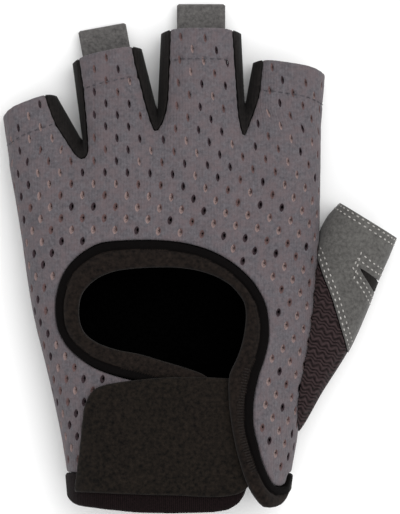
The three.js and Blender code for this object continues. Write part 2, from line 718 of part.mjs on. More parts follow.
piece("thumb_sleeve", thumbSleeve(), suede);
piece("thumb_gusset", thumbGusset(), ribbed);
piece("thumb_vent", thumbVent(), blackStretch);
fingers.forEach(({ tab }, finger) => tab && piece(tab, pullTab(finger), tabSuede));

const glove = new THREE.Group();
glove.add(...pieces);

export default glove;
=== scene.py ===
"""Fingerless weightlifting glove for the left hand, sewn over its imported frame.

The hand's form repeats the sizes and tables of the part's own source. Cloth pieces are cut on an
unrolled side of that form, the way a pattern is, and carried back to it with thickness.
Shapes are worked out in millimetres and become metres when a mesh is made.
"""

import json
import logging
import math
from collections.abc import Callable, Sequence
from dataclasses import dataclass, field
from enum import Enum
from typing import ClassVar

import bpy
import numpy as np
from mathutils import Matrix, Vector
from mathutils.bvhtree import BVHTree
from mathutils.geometry import delaunay_2d_cdt
from mathutils.kdtree import KDTree

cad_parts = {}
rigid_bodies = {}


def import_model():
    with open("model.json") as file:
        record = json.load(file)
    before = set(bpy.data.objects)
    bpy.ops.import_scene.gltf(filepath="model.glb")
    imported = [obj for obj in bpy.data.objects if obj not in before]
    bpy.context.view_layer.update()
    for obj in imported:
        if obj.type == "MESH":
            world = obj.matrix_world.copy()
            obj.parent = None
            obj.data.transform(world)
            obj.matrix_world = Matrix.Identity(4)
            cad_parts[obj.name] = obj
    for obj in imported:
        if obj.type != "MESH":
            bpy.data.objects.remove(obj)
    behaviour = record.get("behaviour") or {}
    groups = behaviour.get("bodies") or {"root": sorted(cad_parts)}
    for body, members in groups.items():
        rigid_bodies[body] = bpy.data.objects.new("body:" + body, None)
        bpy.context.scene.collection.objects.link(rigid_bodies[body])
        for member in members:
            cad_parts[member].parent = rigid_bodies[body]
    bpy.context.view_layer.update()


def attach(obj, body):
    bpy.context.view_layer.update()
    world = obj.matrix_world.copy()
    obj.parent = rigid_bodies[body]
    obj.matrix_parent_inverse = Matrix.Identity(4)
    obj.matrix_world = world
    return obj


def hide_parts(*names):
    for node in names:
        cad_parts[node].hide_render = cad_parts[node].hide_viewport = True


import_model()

LOG = logging.getLogger("glove")
Array = np.ndarray
MM = 0.001


class Face(Enum):
    """The two sides of the hand."""

    BACK = 1
    PALM = -1


@dataclass(frozen=True)
class HandForm:
    """Driving sizes of the glove in millimetres. The tables below are shares of the first three."""

    length: float = 150.0
    width: float = 97.0
    depth: float = 30.0
    hem_crown: float = 1.8
    palm_flatness: float = 1.0
    palm_squareness: float = 2.7
    finger_squareness: float = 2.3
    thumb_squareness: float = 2.3
    seam_height: float = 8.5
    strip_turn: float = 12.5
    strip_palm_spread: float = 2.2
    seam_gap: float = 0.3
    sewn_gap: float = 0.06
    root_top: float = 0.79
    root_side: float = 0.4
    root_ease: float = 2.0
    web_sharpness: float = 6.0
    hem_lift: float = 0.012
    rest_rise: float = 4.0


@dataclass(frozen=True)
class ClothSizes:
    """Thicknesses of the cloth pieces in millimetres."""

    back: float = 1.5
    palm: float = 1.8
    side: float = 1.2
    thumb: float = 1.6
    gusset: float = 1.9
    vent: float = 0.8
    strap: float = 1.6
    tape: float = 2.4
    band: float = 2.4
    tape_proud: float = 0.7
    tab: float = 1.2


HAND = HandForm()
CLOTH = ClothSizes()

# Height along the hand, left and right sides, and heights of back and side.
PALM_ROWS = np.array([
    (-0.533, -0.416, 0.278, 0.98, 0.43),
    (-0.461, -0.422, 0.288, 0.99, 0.43),
    (-0.378, -0.441, 0.31, 1.0, 0.43),
    (-0.296, -0.467, 0.326, 1.0, 0.43),
    (-0.213, -0.497, 0.355, 1.0, 0.43),
    (-0.13, -0.529, 0.375, 0.99, 0.43),
    (-0.048, -0.551, 0.379, 0.97, 0.42),
    (0.035, -0.569, 0.382, 0.94, 0.41),
])
# Across and up, where the hand divides into fingers.
FINGER_ROOTS = np.array([
    (-0.61, 0.2), (-0.377, 0.242), (-0.137, 0.306), (0.144, 0.318), (0.387, 0.267),
])


@dataclass(frozen=True)
class FingerHem:
    """The two side points of a finger's hem, and the finger's depth there, as shares."""

    left: tuple[float, float]
    right: tuple[float, float]
    depth: float


FINGERS = (
    FingerHem((-0.631, 0.291), (-0.457, 0.333), 0.62),
    FingerHem((-0.409, 0.399), (-0.185, 0.43), 0.67),
    FingerHem((-0.126, 0.461), (0.133, 0.461), 0.69),
    FingerHem((0.168, 0.401), (0.4, 0.378), 0.66),
)
# Place along the thumb, its two side points, the height of its axis and half its depth.
THUMB_SECTIONS = np.array([
    (0.0, 0.112, -0.265, 0.23, -0.403, 0.42, 0.22),
    (0.17, 0.23, -0.234, 0.316, -0.366, 0.42, 0.27),
    (0.37, 0.294, -0.151, 0.399, -0.277, 0.41, 0.31),
    (0.56, 0.329, -0.068, 0.479, -0.192, 0.39, 0.34),
    (0.72, 0.355, -0.002, 0.534, -0.114, 0.375, 0.345),
    (0.84, 0.377, 0.045, 0.575, -0.045, 0.36, 0.335),
    (0.92, 0.406, 0.083, 0.604, -0.002, 0.352, 0.325),
    (1.0, 0.447, 0.112, 0.63, 0.039, 0.35, 0.32),
])
# Seams of the strips between the fingers, seen from above.
STRIP_LINES = {
    "little_ring": [
        (-0.535, 0.4), (-0.498, 0.341), (-0.463, 0.279), (-0.428, 0.242), (-0.393, 0.209),
        (-0.377, 0.203), (-0.361, 0.211), (-0.361, 0.242), (-0.368, 0.304), (-0.377, 0.358),
        (-0.391, 0.42),
    ],
    "ring_middle": [
        (-0.224, 0.47), (-0.206, 0.4), (-0.189, 0.358), (-0.173, 0.316), (-0.15, 0.269),
        (-0.141, 0.26), (-0.129, 0.269), (-0.115, 0.29), (-0.106, 0.318), (-0.102, 0.358),
        (-0.094, 0.5),
    ],
    "middle_index": [
        (0.102, 0.5), (0.112, 0.407), (0.117, 0.358), (0.123, 0.304), (0.129, 0.275),
        (0.141, 0.25), (0.16, 0.281), (0.173, 0.304), (0.187, 0.333), (0.195, 0.374),
        (0.206, 0.45),
    ],
}
# The two edges of the tape round the opening in the back.
TAPE_INNER = [
    (0.04, -0.6), (0.055, -0.44), (0.058, -0.33), (0.045, -0.265), (0.015, -0.243),
    (-0.05, -0.227), (-0.128, -0.212),
    (-0.19, -0.2), (-0.256, -0.192), (-0.3, -0.184), (-0.336, -0.174), (-0.371, -0.155),
    (-0.387, -0.126), (-0.384, -0.089), (-0.364, -0.064), (-0.32, -0.041), (-0.256, -0.027),
    (-0.144, -0.021), (-0.048, -0.023), (0.032, -0.035), (0.09, -0.054), (0.128, -0.079),
    (0.144, -0.099), (0.147, -0.13), (0.137, -0.172), (0.119, -0.207), (0.094, -0.244),
    (0.093, -0.296), (0.101, -0.341), (0.115, -0.389), (0.137, -0.44), (0.16, -0.477),
    (0.179, -0.496), (0.198, -0.51), (0.217, -0.516), (0.249, -0.513), (0.268, -0.502),
    (0.281, -0.486), (0.36, -0.484),
]
TAPE_OUTER = [
    (0.36, -0.448), (0.284, -0.449), (0.272, -0.47), (0.249, -0.473), (0.23, -0.465),
    (0.201, -0.426), (0.182, -0.384), (0.169, -0.347), (0.169, -0.296), (0.185, -0.244),
    (0.204, -0.209), (0.217, -0.172), (0.217, -0.134), (0.208, -0.099), (0.185, -0.068),
    (0.153, -0.041), (0.096, -0.01), (0.032, 0.012), (-0.048, 0.027), (-0.128, 0.033),
    (-0.224, 0.033), (-0.304, 0.029), (-0.352, 0.017), (-0.4, -0.006), (-0.438, -0.039),
    (-0.457, -0.079), (-0.46, -0.114), (-0.451, -0.151), (-0.422, -0.184), (-0.384, -0.207),
    (-0.336, -0.227), (-0.27, -0.243), (-0.19, -0.256), (-0.12, -0.268), (-0.06, -0.282),
    (-0.032, -0.31), (-0.026, -0.36), (-0.03, -0.44), (-0.045, -0.6),
]
STRAP_OUTLINE = [
    (-0.387, -0.483), (-0.374, -0.398), (-0.365, -0.326), (-0.358, -0.3), (-0.348, -0.285),
    (-0.326, -0.269), (-0.281, -0.26), (-0.192, -0.252), (-0.09, -0.247), (0.05, -0.248),
    (0.14, -0.26), (0.15, -0.35), (0.175, -0.43), (0.12, -0.486), (-0.1, -0.489),
]
BAND_TOP = -0.444
BAND_OUTLINE = [
    (-0.6, -0.446), (-0.6, -0.45), (-0.6, -0.485), (-0.422, -0.49), (-0.412, -0.504),
    (-0.39, -0.512), (-0.304, -0.519), (-0.2, -0.5255), (-0.096, -0.527), (0.038, -0.525),
    (0.09, -0.52), (0.122, -0.507), (0.141, -0.49), (0.155, -0.46), (0.155, -0.446),
]
BAND_LOWEST = -0.476
GUSSET_SEAM = [
    (0.2, 0.06), (0.35, 0.03), (0.371, 0.004), (0.393, -0.038), (0.42, -0.083),
    (0.444, -0.134), (0.47, -0.19), (0.49, -0.25), (0.4, -0.45), (0.2, -0.45),
]
GUSSET_HEIGHT = 0.3


# ---------------------------------------------------------------- small helpers on arrays


def plan(line: Sequence[tuple[float, float]]) -> Array:
    """A table's places, as millimetres seen from above."""
    return np.array(line) * (HAND.width, HAND.length)


def lerp(a: Array | float, b: Array | float, t: Array | float) -> Array | float:
    """The value at a share t of the way from a to b."""
    return a + (b - a) * t


def smoothstep(value: Array, low: float, high: float) -> Array:
    """Eases from 0 at low to 1 at high."""
    t = np.clip((value - low) / (high - low), 0, 1)
    return t * t * (3 - 2 * t)


def profile(place: Array, squareness: float) -> Array:
    """Height of a rounded section at a place from -1 to 1 across it."""
    return np.clip(1 - np.abs(place) ** squareness, 0, None) ** (1 / squareness)


def follow(table: Array, at: Array) -> Array:
    """Reads a table along a smooth curve through its rows.

    Args:
        table: rows whose first column is their position.
        at: positions to read.

    Returns:
        The other columns at those positions, one row each.
    """
    place, values = table[:, 0], table[:, 1:]
    last = len(place) - 1
    before = np.maximum(np.arange(last + 1) - 1, 0)
    after = np.minimum(np.arange(last + 1) + 1, last)
    slope = (values[after] - values[before]) / (place[after] - place[before])[:, None]
    i = np.clip(np.searchsorted(place, at, side="right") - 1, 0, last - 1)
    width = (place[i + 1] - place[i])[:, None]
    t = np.clip((at - place[i]) / width[:, 0], 0, 1)[:, None]
    return (
        (2 * t**3 - 3 * t**2 + 1) * values[i]
        + (t**3 - 2 * t**2 + t) * width * slope[i]
        + (3 * t**2 - 2 * t**3) * values[i + 1]
        + (t**3 - t**2) * width * slope[i + 1]
    )


def run_along(line: Array) -> Array:
    """Distance from a line's start to each of its points."""
    return np.concatenate([[0], np.cumsum(np.linalg.norm(np.diff(line, axis=0), axis=1))])


def read_at(values: Array, run: Array, at: Array) -> Array:
    """Rows of values along a line, read at distances from its start."""
    return np.column_stack([np.interp(at, run, column) for column in values.T])


def smooth_line(line: Array, step: float, reads: int = 12) -> Array:
    """A curve through points, read at even steps.

    Args:
        line: the points that it passes through.
        step: distance between the points that are returned.
        reads: how often the curve is read between two points before it is evened out.

    Returns:
        Points along the curve, both ends included.
    """
    run = run_along(line)
    fine = follow(np.column_stack([run, line]), np.linspace(0, run[-1], len(line) * reads))
    return even_line(fine, step)


def even_line(line: Array, step: float) -> Array:
    """The same polyline with its points about one step apart."""
    run = run_along(line)
    count = max(2, round(run[-1] / step) + 1)
    return read_at(line, run, np.linspace(0, run[-1], count))


def closed(line: Array) -> Array:
    """The line with its first point again at its end."""
    return np.vstack([line, line[:1]])


def inside(loop: Array, points: Array) -> Array:
    """Which points lie inside a closed outline."""
    found = np.zeros(len(points), bool)
    x, y = points.T
    for (ax, ay), (bx, by) in zip(loop, np.roll(loop, -1, axis=0)):
        if ay == by:
            continue
        crosses = (ay > y) != (by > y)
        found ^= crosses & (x < ax + (bx - ax) * (y - ay) / (by - ay))
    return found


def within(domain: Array, away: Sequence[Array]) -> Callable[[Array], Array]:
    """A test of which flat points lie inside one closed outline and outside others."""

    def on_cloth(points: Array) -> Array:
        """Which flat points are on the cloth."""
        kept = inside(domain, points)
        for loop in away:
            kept &= ~inside(loop, points)
        return kept

    return on_cloth


def signed_area(loop: Array) -> float:
    """Twice the area of a closed outline, positive where it runs anticlockwise."""
    ahead = np.roll(loop, -1, axis=0)
    return np.sum(loop[:, 0] * ahead[:, 1] - ahead[:, 0] * loop[:, 1])


def turns(flat: Array, triangles: Array) -> Array:
    """Twice the flat area of each triangle, negative where it runs clockwise."""
    a, b, c = (flat[triangles[:, k]] for k in range(3))
    ab, ac = b - a, c - a
    return ab[:, 0] * ac[:, 1] - ab[:, 1] * ac[:, 0]


def grown(loop: Array, distance: float) -> Array:
    """The outline grown outwards by a distance, or shrunk where it is negative."""
    way = np.roll(loop, -1, axis=0) - np.roll(loop, 1, axis=0)
    way /= np.linalg.norm(way, axis=1)[:, None]
    return loop + np.column_stack([way[:, 1], -way[:, 0]]) * distance * np.sign(signed_area(loop))


def flat_tree(points: Array) -> KDTree:
    """A search tree of flat points."""
    tree = KDTree(len(points))
    for i, (x, y) in enumerate(points.tolist()):
        tree.insert((x, y, 0), i)
    tree.balance()
    return tree


def number_of_nearest(places: Array, points: Array) -> Array:
    """Number of the place that is nearest to each flat point."""
    tree = flat_tree(places)
    return np.array([tree.find((x, y, 0))[1] for x, y in points.tolist()])


class Nearness:
    """Tells how near flat points are to a set of lines."""

    STEP = 0.25

    def __init__(self, lines: Sequence[Array]) -> None:
        """Samples the lines finely."""
        self.tree = flat_tree(np.vstack([even_line(line, self.STEP) for line in lines]))

    def __call__(self, points: Array) -> Array:
        """Distance of each point to the nearest line."""
        return np.array([self.tree.find((x, y, 0))[2] for x, y in points.tolist()])


def vertex_normals(points: Array, triangles: Array) -> Array:
    """Normals of a mesh's points, weighted by the areas of their triangles."""
    a, b, c = (points[triangles[:, k]] for k in range(3))
    normal = np.cross(b - a, c - a)
    total = np.zeros_like(points)
    for k in range(3):
        np.add.at(total, triangles[:, k], normal)
    return total / np.maximum(np.linalg.norm(total, axis=1), 1e-12)[:, None]


def grid_triangles(ids: Array, turned: bool = False) -> Array:
    """Two triangles for each cell of a grid of point numbers."""
    a, b, c, d = ids[:-1, :-1], ids[:-1, 1:], ids[1:, 1:], ids[1:, :-1]
    corners = (a, c, b, a, d, c) if turned else (a, b, c, a, c, d)
    return np.stack(corners, -1).reshape(-1, 3)


def open_edges(triangles: Array) -> Array:
    """Directed edges that only one triangle uses."""
    edges = np.concatenate([triangles[:, [0, 1]], triangles[:, [1, 2]], triangles[:, [2, 0]]])
    used = set(map(tuple, edges.tolist()))
    return np.array([e for e in edges.tolist() if (e[1], e[0]) not in used])


# ---------------------------------------------------------------- the form of the hand


class HandSkin:
    """The skin of the whole hand as fine grids, one for each finger and face."""

    COLUMNS = 20
    PALM_STEP = 1.4
    ROOT_ROWS = 16
    FINGER_ROWS = 16
    KEYS_PER_MM = 1000  # points of two grids that round to the same key are one
    KEY_OFFSET = 0.1234  # keeps round millimetres off the edge between two keys

    def __init__(self) -> None:
        """Builds the grids and joins them into one surface."""
        roots = FINGER_ROOTS[:, 0]
        self.root_places = 2 * (roots - roots[0]) / (roots[-1] - roots[0]) - 1
        self.shares = np.linspace(0, 1, self.COLUMNS + 1)
        grids = {(k, f): self._rows(k, f) for f in Face for k in range(len(FINGERS))}
        stacked = np.concatenate([g.reshape(-1, 3) for g in grids.values()])
        keys = np.round(stacked * self.KEYS_PER_MM + self.KEY_OFFSET).astype(np.int64)
        _, first, where = np.unique(keys, axis=0, return_index=True, return_inverse=True)
        self.points = stacked[first]
        self.ids: dict[tuple[int, Face], Array] = {}
        start = 0
        for key, grid in grids.items():
            count = grid.shape[0] * grid.shape[1]
            self.ids[key] = where.reshape(-1)[start : start + count].reshape(grid.shape[:2])
            start += count
        self.triangles = np.concatenate(
            [grid_triangles(ids, face is Face.PALM) for (_, face), ids in self.ids.items()]
        )
        sides = [self.triangles[:, k] != self.triangles[:, (k + 1) % 3] for k in range(3)]
        self.triangles = self.triangles[np.logical_and.reduce(sides)]
        self.normals = vertex_normals(self.points, self.triangles)

    def palm_point(self, up: Array | float, place: Array, face: Face, row: Array) -> Array:
        """Points of the plain hand.

        Args:
            up: share of the length.
            place: places across the hand, from -1 to 1.
            face: back or palm.
            row: left and right sides and heights of back and side, as shares.

        Returns:
            The points, one row each.
        """
        left, right, top, side = row
        middle = side * HAND.depth
        above = top * HAND.depth - middle
        rise = above if face is Face.BACK else middle + HAND.palm_flatness
        z = middle + face.value * rise * profile(place, HAND.palm_squareness)
        x = HAND.width * lerp(left, right, (place + 1) / 2)
        return np.stack([x, HAND.length * up + 0 * x, np.maximum(0, z)], -1)

    def palm_place(self, finger: int, share: Array) -> Array:
        """Places across the hand for shares of one finger's breadth."""
        eased = share
        if finger == 0:
            eased = 1 - np.cos(share * math.pi / 2)
        if finger == len(FINGERS) - 1:
            eased = np.sin(share * math.pi / 2)
        return lerp(self.root_places[finger], self.root_places[finger + 1], eased)

    @staticmethod
    def heading(finger: int) -> Array:
        """Direction of a finger seen from above."""
        hem = FINGERS[finger]
        ends = plan([hem.left, hem.right]).sum(0) - plan(FINGER_ROOTS[finger : finger + 2]).sum(0)
        return np.append(ends / np.linalg.norm(ends), 0)

    def finger_point(self, finger: int, share: Array, along: float, face: Face) -> Array:
        """Points of a finger, from 0 at its root to 1 at its hem.

        Args:
            finger: number of the finger, from the little finger.
            share: shares of its breadth.
            along: share of its length.
            face: back or palm.

        Returns:
            The points, one row each.
        """
        hem = FINGERS[finger]
        root_row = (FINGER_ROOTS[0, 0], FINGER_ROOTS[-1, 0], HAND.root_top, HAND.root_side)
        middle = np.array([self.root_places[finger : finger + 2].mean()])
        across = (1 - np.cos(share * math.pi)) / 2
        rounded = profile(2 * across - 1, HAND.finger_squareness)
        hem_floor = HAND.hem_lift * HAND.depth
        depth = hem.depth * HAND.depth
        floor = lerp(self.palm_point(0, middle, Face.PALM, root_row)[0, 2], hem_floor, along)
        top = lerp(self.palm_point(0, middle, Face.BACK, root_row)[0, 2], depth + hem_floor, along)
        side = lerp(HAND.root_side * HAND.depth, hem_floor + depth / 2, along)
        crown = HAND.hem_crown * along * (1 - (2 * across - 1) ** 4)
        root = lerp(FINGER_ROOTS[finger], FINGER_ROOTS[finger + 1], across[:, None])
        end = lerp(np.array(hem.left), np.array(hem.right), across[:, None])
        flat = lerp(root, end, along) * (HAND.width, HAND.length)
        flat = flat + self.heading(finger)[:2] * crown[:, None]
        reach = top - side if face is Face.BACK else floor - side
        return np.column_stack([flat, side + reach * rounded])

    def _root_point(self, finger: int, share: Array, step: float, face: Face) -> Array:
        """Points between the last straight row of the palm and the finger roots."""
        start = PALM_ROWS[-1]
        place = self.palm_place(finger, share)
        goal = np.array([FINGER_ROOTS[0, 0], FINGER_ROOTS[-1, 0], HAND.root_top, HAND.root_side])
        (_, a), (_, b) = FINGER_ROOTS[finger : finger + 2]
        low, high = self.root_places[finger : finger + 2]
        up = lerp(start[0], lerp(a, b, (place - low) / (high - low)), step)
        plain = self.palm_point(up, place, face, lerp(start[1:], goal, step))
        root = self.finger_point(finger, share, 0, face)
        root[:, 1] = lerp(start[0] * HAND.length, root[:, 1], step)
        return lerp(plain, root, step**HAND.web_sharpness)

    def _rows(self, finger: int, face: Face) -> Array:
        """One finger's grid of points on one face, from the wrist to its hem."""
        ups = np.linspace(
            PALM_ROWS[0, 0],
            PALM_ROWS[-1, 0],
            round((PALM_ROWS[-1, 0] - PALM_ROWS[0, 0]) * HAND.length / self.PALM_STEP),
        )
        place = self.palm_place(finger, self.shares)
        values = follow(PALM_ROWS, ups)
        rows = [self.palm_point(up, place, face, row) for up, row in zip(ups, values)]
        for step in np.linspace(0, 1, self.ROOT_ROWS + 1)[1:]:
            eased = 1 - (1 - step) ** HAND.root_ease
            rows.append(self._root_point(finger, self.shares, eased, face))
        for along in np.linspace(0, 1, self.FINGER_ROWS + 1)[1:]:
            rows.append(self.finger_point(finger, self.shares, along, face))
        return np.array(rows)


class FlatSide:
    """One side of the hand, unrolled flat like a sewing pattern.

    Along the hand a flat place is the place seen from above. Across, it is that place in the
    middle, and goes on by the length of the cloth where the hand turns down at its two sides.
    """

    WRAPPED = 13  # columns of the palm that the back reaches round to
    ANCHOR = 17  # column of the outer fingers from which the cloth's own length counts
    PAST_SIDE = 4  # columns past those in which the side seam may lie
    LEAST_AREA = 1e-6  # a triangle with less, seen from above, stands on end

    def __init__(self, skin: HandSkin, face: Face) -> None:
        """Unrolls one face of a skin."""
        self.skin = skin
        self.face = face
        last = len(FINGERS) - 1
        self.grids: list[Array] = []
        self.flats: list[Array] = []
        for finger in range(len(FINGERS)):
            ids = skin.ids[finger, face]
            other = skin.ids[finger, Face.PALM if face is Face.BACK else Face.BACK]
            anchor = None
            if finger == 0:
                anchor = self.ANCHOR
                if face is Face.BACK:
                    ids = np.hstack([other[:, self.WRAPPED : 0 : -1], ids])
                    anchor += self.WRAPPED
            if finger == last:
                anchor = skin.COLUMNS - self.ANCHOR
                if face is Face.BACK:
                    ids = np.hstack([ids, other[:, -2 : -self.WRAPPED - 2 : -1]])
            points = skin.points[ids]
            u = points[:, :, 0].copy()
            run = np.hypot(np.diff(points[:, :, 0], axis=1), np.diff(points[:, :, 2], axis=1))
            if finger == 0:
                back = np.cumsum(run[:, :anchor][:, ::-1], axis=1)[:, ::-1]
                u[:, :anchor] = u[:, anchor : anchor + 1] - back
            if finger == last:
                u[:, anchor + 1 :] = u[:, anchor : anchor + 1] + np.cumsum(run[:, anchor:], axis=1)
            self.grids.append(ids)
            self.flats.append(np.stack([u, points[:, :, 1]], -1))
        self.ids = np.concatenate([g.reshape(-1) for g in self.grids])
        self.flat = np.concatenate([f.reshape(-1, 2) for f in self.flats])
        triangles, start = [], 0
        for grid in self.grids:
            numbers = np.arange(grid.size).reshape(grid.shape) + start
            triangles.append(grid_triangles(numbers))
            start += grid.size
        self.triangles = np.concatenate(triangles)
        self.tree = self._tree(self.flat, self.triangles)
        seen = skin.points[self.ids]
        level = turns(seen[:, :2], self.triangles)
        level = np.abs(level) if face is Face.PALM else level
        self.upper = self.triangles[level > self.LEAST_AREA]
        self.plan_tree = self._tree(seen[:, :2], self.upper)

    @staticmethod
    def _tree(flat: Array, triangles: Array) -> BVHTree:
        """A search tree of flat triangles."""
        corners = np.column_stack([flat, np.zeros(len(flat))]).tolist()
        return BVHTree.FromPolygons(corners, triangles.tolist())

    @staticmethod
    def _read(
        tree: BVHTree, flat: Array, triangles: Array, values: Array, points: Array
    ) -> tuple[Array, Array]:
        """Reads values of a flat mesh at points.

        Args:
            tree: search tree of the mesh.
            flat: its corners.
            triangles: its triangles.
            values: one row for each corner.
            points: flat places to read.

        Returns:
            The values there, and the nearest place on the mesh to each point.
        """
        hits = [tree.find_nearest((x, y, 0)) for x, y in points]
        near = np.array([hit[0][:2] for hit in hits])
        found = triangles[[hit[2] for hit in hits]]
        a, b, c = (flat[found[:, k]] for k in range(3))
        ab, ac, ap = b - a, c - a, near - a
        area = ab[:, 0] * ac[:, 1] - ab[:, 1] * ac[:, 0]
        area = np.where(np.abs(area) < 1e-12, 1e-12, area)
        v = (ap[:, 0] * ac[:, 1] - ap[:, 1] * ac[:, 0]) / area
        w = (ab[:, 0] * ap[:, 1] - ab[:, 1] * ap[:, 0]) / area
        weights = np.clip(np.stack([1 - v - w, v, w], -1), 0, 1)
        weights /= weights.sum(1)[:, None]
        return np.einsum("nk,nkd->nd", weights, values[found]), near

    def on_hand(self, flat: Array) -> tuple[Array, Array]:
        """Points of the skin and its outward normals at flat places."""
        points, normals = self.skin.points[self.ids], self.skin.normals[self.ids]
        both = np.hstack([points, normals])
        read, _ = self._read(self.tree, self.flat, self.triangles, both, flat)
        normal = read[:, 3:] / np.linalg.norm(read[:, 3:], axis=1)[:, None]
        return read[:, :3], normal

    def from_plan(self, points: Array) -> Array:
        """Flat places of points seen from above. What lies past the hand keeps its distance."""
        seen = self.skin.points[self.ids][:, :2]
        flat, near = self._read(self.plan_tree, seen, self.upper, self.flat, points)
        return flat + points - near

    def side_seam(self, height: float, right: bool) -> Array:
        """The line at one height along the outer side of the hand, from the wrist to the hem."""
        grid = self.grids[-1] if right else self.grids[0]
        flats = self.flats[-1] if right else self.flats[0]
        z = self.skin.points[grid][:, :, 2]
        half = self.WRAPPED + self.PAST_SIDE
        line = []
        for heights, row in zip(z, flats):
            span = slice(-half, None) if right else slice(0, half)
            level, places = heights[span], row[span]
            if level[0] > level[-1]:
                level, places = level[::-1], places[::-1]
            line.append([np.interp(height, level, places[:, k]) for k in range(2)])
        return np.array(line)

    def domain(self, height: float) -> Array:
        """Outline of the whole side down to a height, across all four hems."""
        left, right = self.side_seam(height, False), self.side_seam(height, True)
        hems = [flats[-1] for flats in self.flats]
        hems[0] = hems[0][hems[0][:, 0] > left[-1, 0]]
        hems[-1] = hems[-1][hems[-1][:, 0] < right[-1, 0]]
        return np.vstack([left, *hems, right[::-1]])


# ---------------------------------------------------------------- cutting cloth


@dataclass
class Pattern:
    """A piece of cloth to be cut from a flat side.

    Rows of points follow its edges at the distances of edge_rows, and a lattice fills the rest.
    """

    EDGE_STEP: ClassVar[float] = 0.8  # step along the edges, as a share of the spacing
    ROW_CLEARANCE: ClassVar[float] = 0.9  # least distance to other edges, as a share of a row's
    LATTICE_CLEARANCE: ClassVar[float] = 0.45
    TOUCHING: ClassVar[float] = 1e-4

    outlines: list[Array]
    keep: Callable[[Array], Array]
    spacing: float
    edge_rows: tuple[float, ...] = (0.3, 0.8)
    holes: list[Array] = field(default_factory=list)

    def cut(self) -> tuple[Array, Array]:
        """Fills the pattern with triangles.

        Returns:
            Flat points and triangles.
        """
        edge_step = self.spacing * self.EDGE_STEP
        lines = [even_line(closed(loop), edge_step) for loop in self.outlines]
        lines += [closed(hole) for hole in self.holes]
        fixed, edges = [], []
        for line in lines:
            start = sum(map(len, fixed))
            fixed.append(line[:-1])
            count = len(line) - 1
            edges += [(start + i, start + (i + 1) % count) for i in range(count)]
        boundary = np.vstack(fixed)
        near = Nearness(lines)
        extra = []
        for distance in self.edge_rows:
            sides = (-distance, distance)
            row = np.vstack([grown(line[:-1], side) for line in lines for side in sides])
            row = row[self.keep(row)]
            extra.append(row[near(row) > distance * self.ROW_CLEARANCE])
        rows = np.vstack(extra)
        low, high = boundary.min(0), boundary.max(0)
        step = np.array([self.spacing, self.spacing * math.sqrt(3) / 2])
        counts = np.ceil((high - low) / step).astype(int)
        i, j = np.meshgrid(np.arange(counts[0] + 1), np.arange(counts[1] + 1))
        lattice = low + np.stack([i + (j % 2) / 2, j], -1).reshape(-1, 2) * step
        lattice = lattice[self.keep(lattice)]
        clear = max(self.edge_rows) + self.spacing * self.LATTICE_CLEARANCE
        lattice = lattice[near(lattice) > clear]
        points = np.vstack([boundary, rows, lattice])
        verts, _, faces, *_ = delaunay_2d_cdt(
            [Vector(p) for p in points.tolist()], edges, [], 0, self.TOUCHING
        )
        flat = np.array([tuple(v) for v in verts])
        triangles = np.array([f for f in faces if len(f) == 3])
        triangles = triangles[self.keep(flat[triangles].mean(1))]
        used, where = np.unique(triangles, return_inverse=True)
        flat, triangles = flat[used], where.reshape(triangles.shape)
        turned = turns(flat, triangles) < 0
        triangles[turned] = triangles[turned][:, ::-1]
        return flat, triangles


@dataclass
class Cloth:
    """A closed mesh of cloth: its points in millimetres, triangles, finishes and flat places."""

    points: Array
    triangles: Array
    slots: Array
    flat: Array

    @classmethod
    def wall(
        cls,
        outer: Array,
        inner: Array,
        triangles: Array,
        flat: Array,
        slots: tuple[int, int, int] = (0, 1, 0),
    ) -> "Cloth":
        """Joins two faces of a cloth with walls along its open edges.

        Args:
            outer: points of the outer face.
            inner: points of the inner face.
            triangles: triangles that both faces share, outwards.
            flat: flat place of each point.
            slots: numbers of the finishes outside, inside and on the walls.

        Returns:
            The closed cloth.
        """
        count = len(outer)
        edges = open_edges(triangles)
        a, b = edges.T
        halves = [(b, a, a + count), (b, a + count, b + count)]
        walls = np.vstack([np.column_stack(half) for half in halves])
        every = np.vstack([triangles, triangles[:, ::-1] + count, walls])
        numbers = np.repeat(slots, [len(triangles), len(triangles), len(walls)])
        return cls(np.vstack([outer, inner]), every, numbers, np.vstack([flat, flat]))

    @classmethod
    def merged(cls, parts: Sequence["Cloth"]) -> "Cloth":
        """Several cloths as one mesh."""
        starts = np.cumsum([0] + [len(part.points) for part in parts])
        return cls(
            np.vstack([part.points for part in parts]),
            np.vstack([part.triangles + start for part, start in zip(parts, starts)]),
            np.concatenate([part.slots for part in parts]),
            np.vstack([part.flat for part in parts]),
        )

    def make(self, name: str, *finishes: "ClothFinish") -> bpy.types.Object:
        """Makes the Blender object.

        Args:
            name: the piece's name.
            finishes: the finishes that its slots name, in their order.

        Returns:
            The new object, smooth, with its flat places in centimetres as its UV map.
        """
        mesh = bpy.data.meshes.new(name)
        mesh.from_pydata((self.points * MM).tolist(), [], self.triangles.tolist())
        mesh.polygons.foreach_set("material_index", self.slots.astype(np.int32))
        uv = mesh.uv_layers.new(name="UVMap")
        uv.data.foreach_set("uv", (self.flat[self.triangles.reshape(-1)] / 10).ravel())
        mesh.validate()
        mesh.shade_smooth()
        for finish in finishes:
            mesh.materials.append(finish.material())
        return linked(name, mesh)


def hump(distance: Array, reach: float) -> Array:
    """A smooth hump of height 1, which falls off over a reach."""
    return np.exp(-((distance / reach) ** 2))


def round_edge(distance: Array, radius: float) -> Array:
    """How far a rounded edge has dropped at a distance from it."""
    t = np.clip(1 - distance / radius, 0, 1)
    return radius * (1 - np.sqrt(1 - t * t))


def linked(name: str, data: bpy.types.ID) -> bpy.types.Object:
    """A new object in the scene."""
    made = bpy.data.objects.new(name, data)
    bpy.context.scene.collection.objects.link(made)
    return made


def deselect() -> None:
    """Leaves nothing selected."""
    for other in bpy.context.selected_objects:
        other.select_set(False)


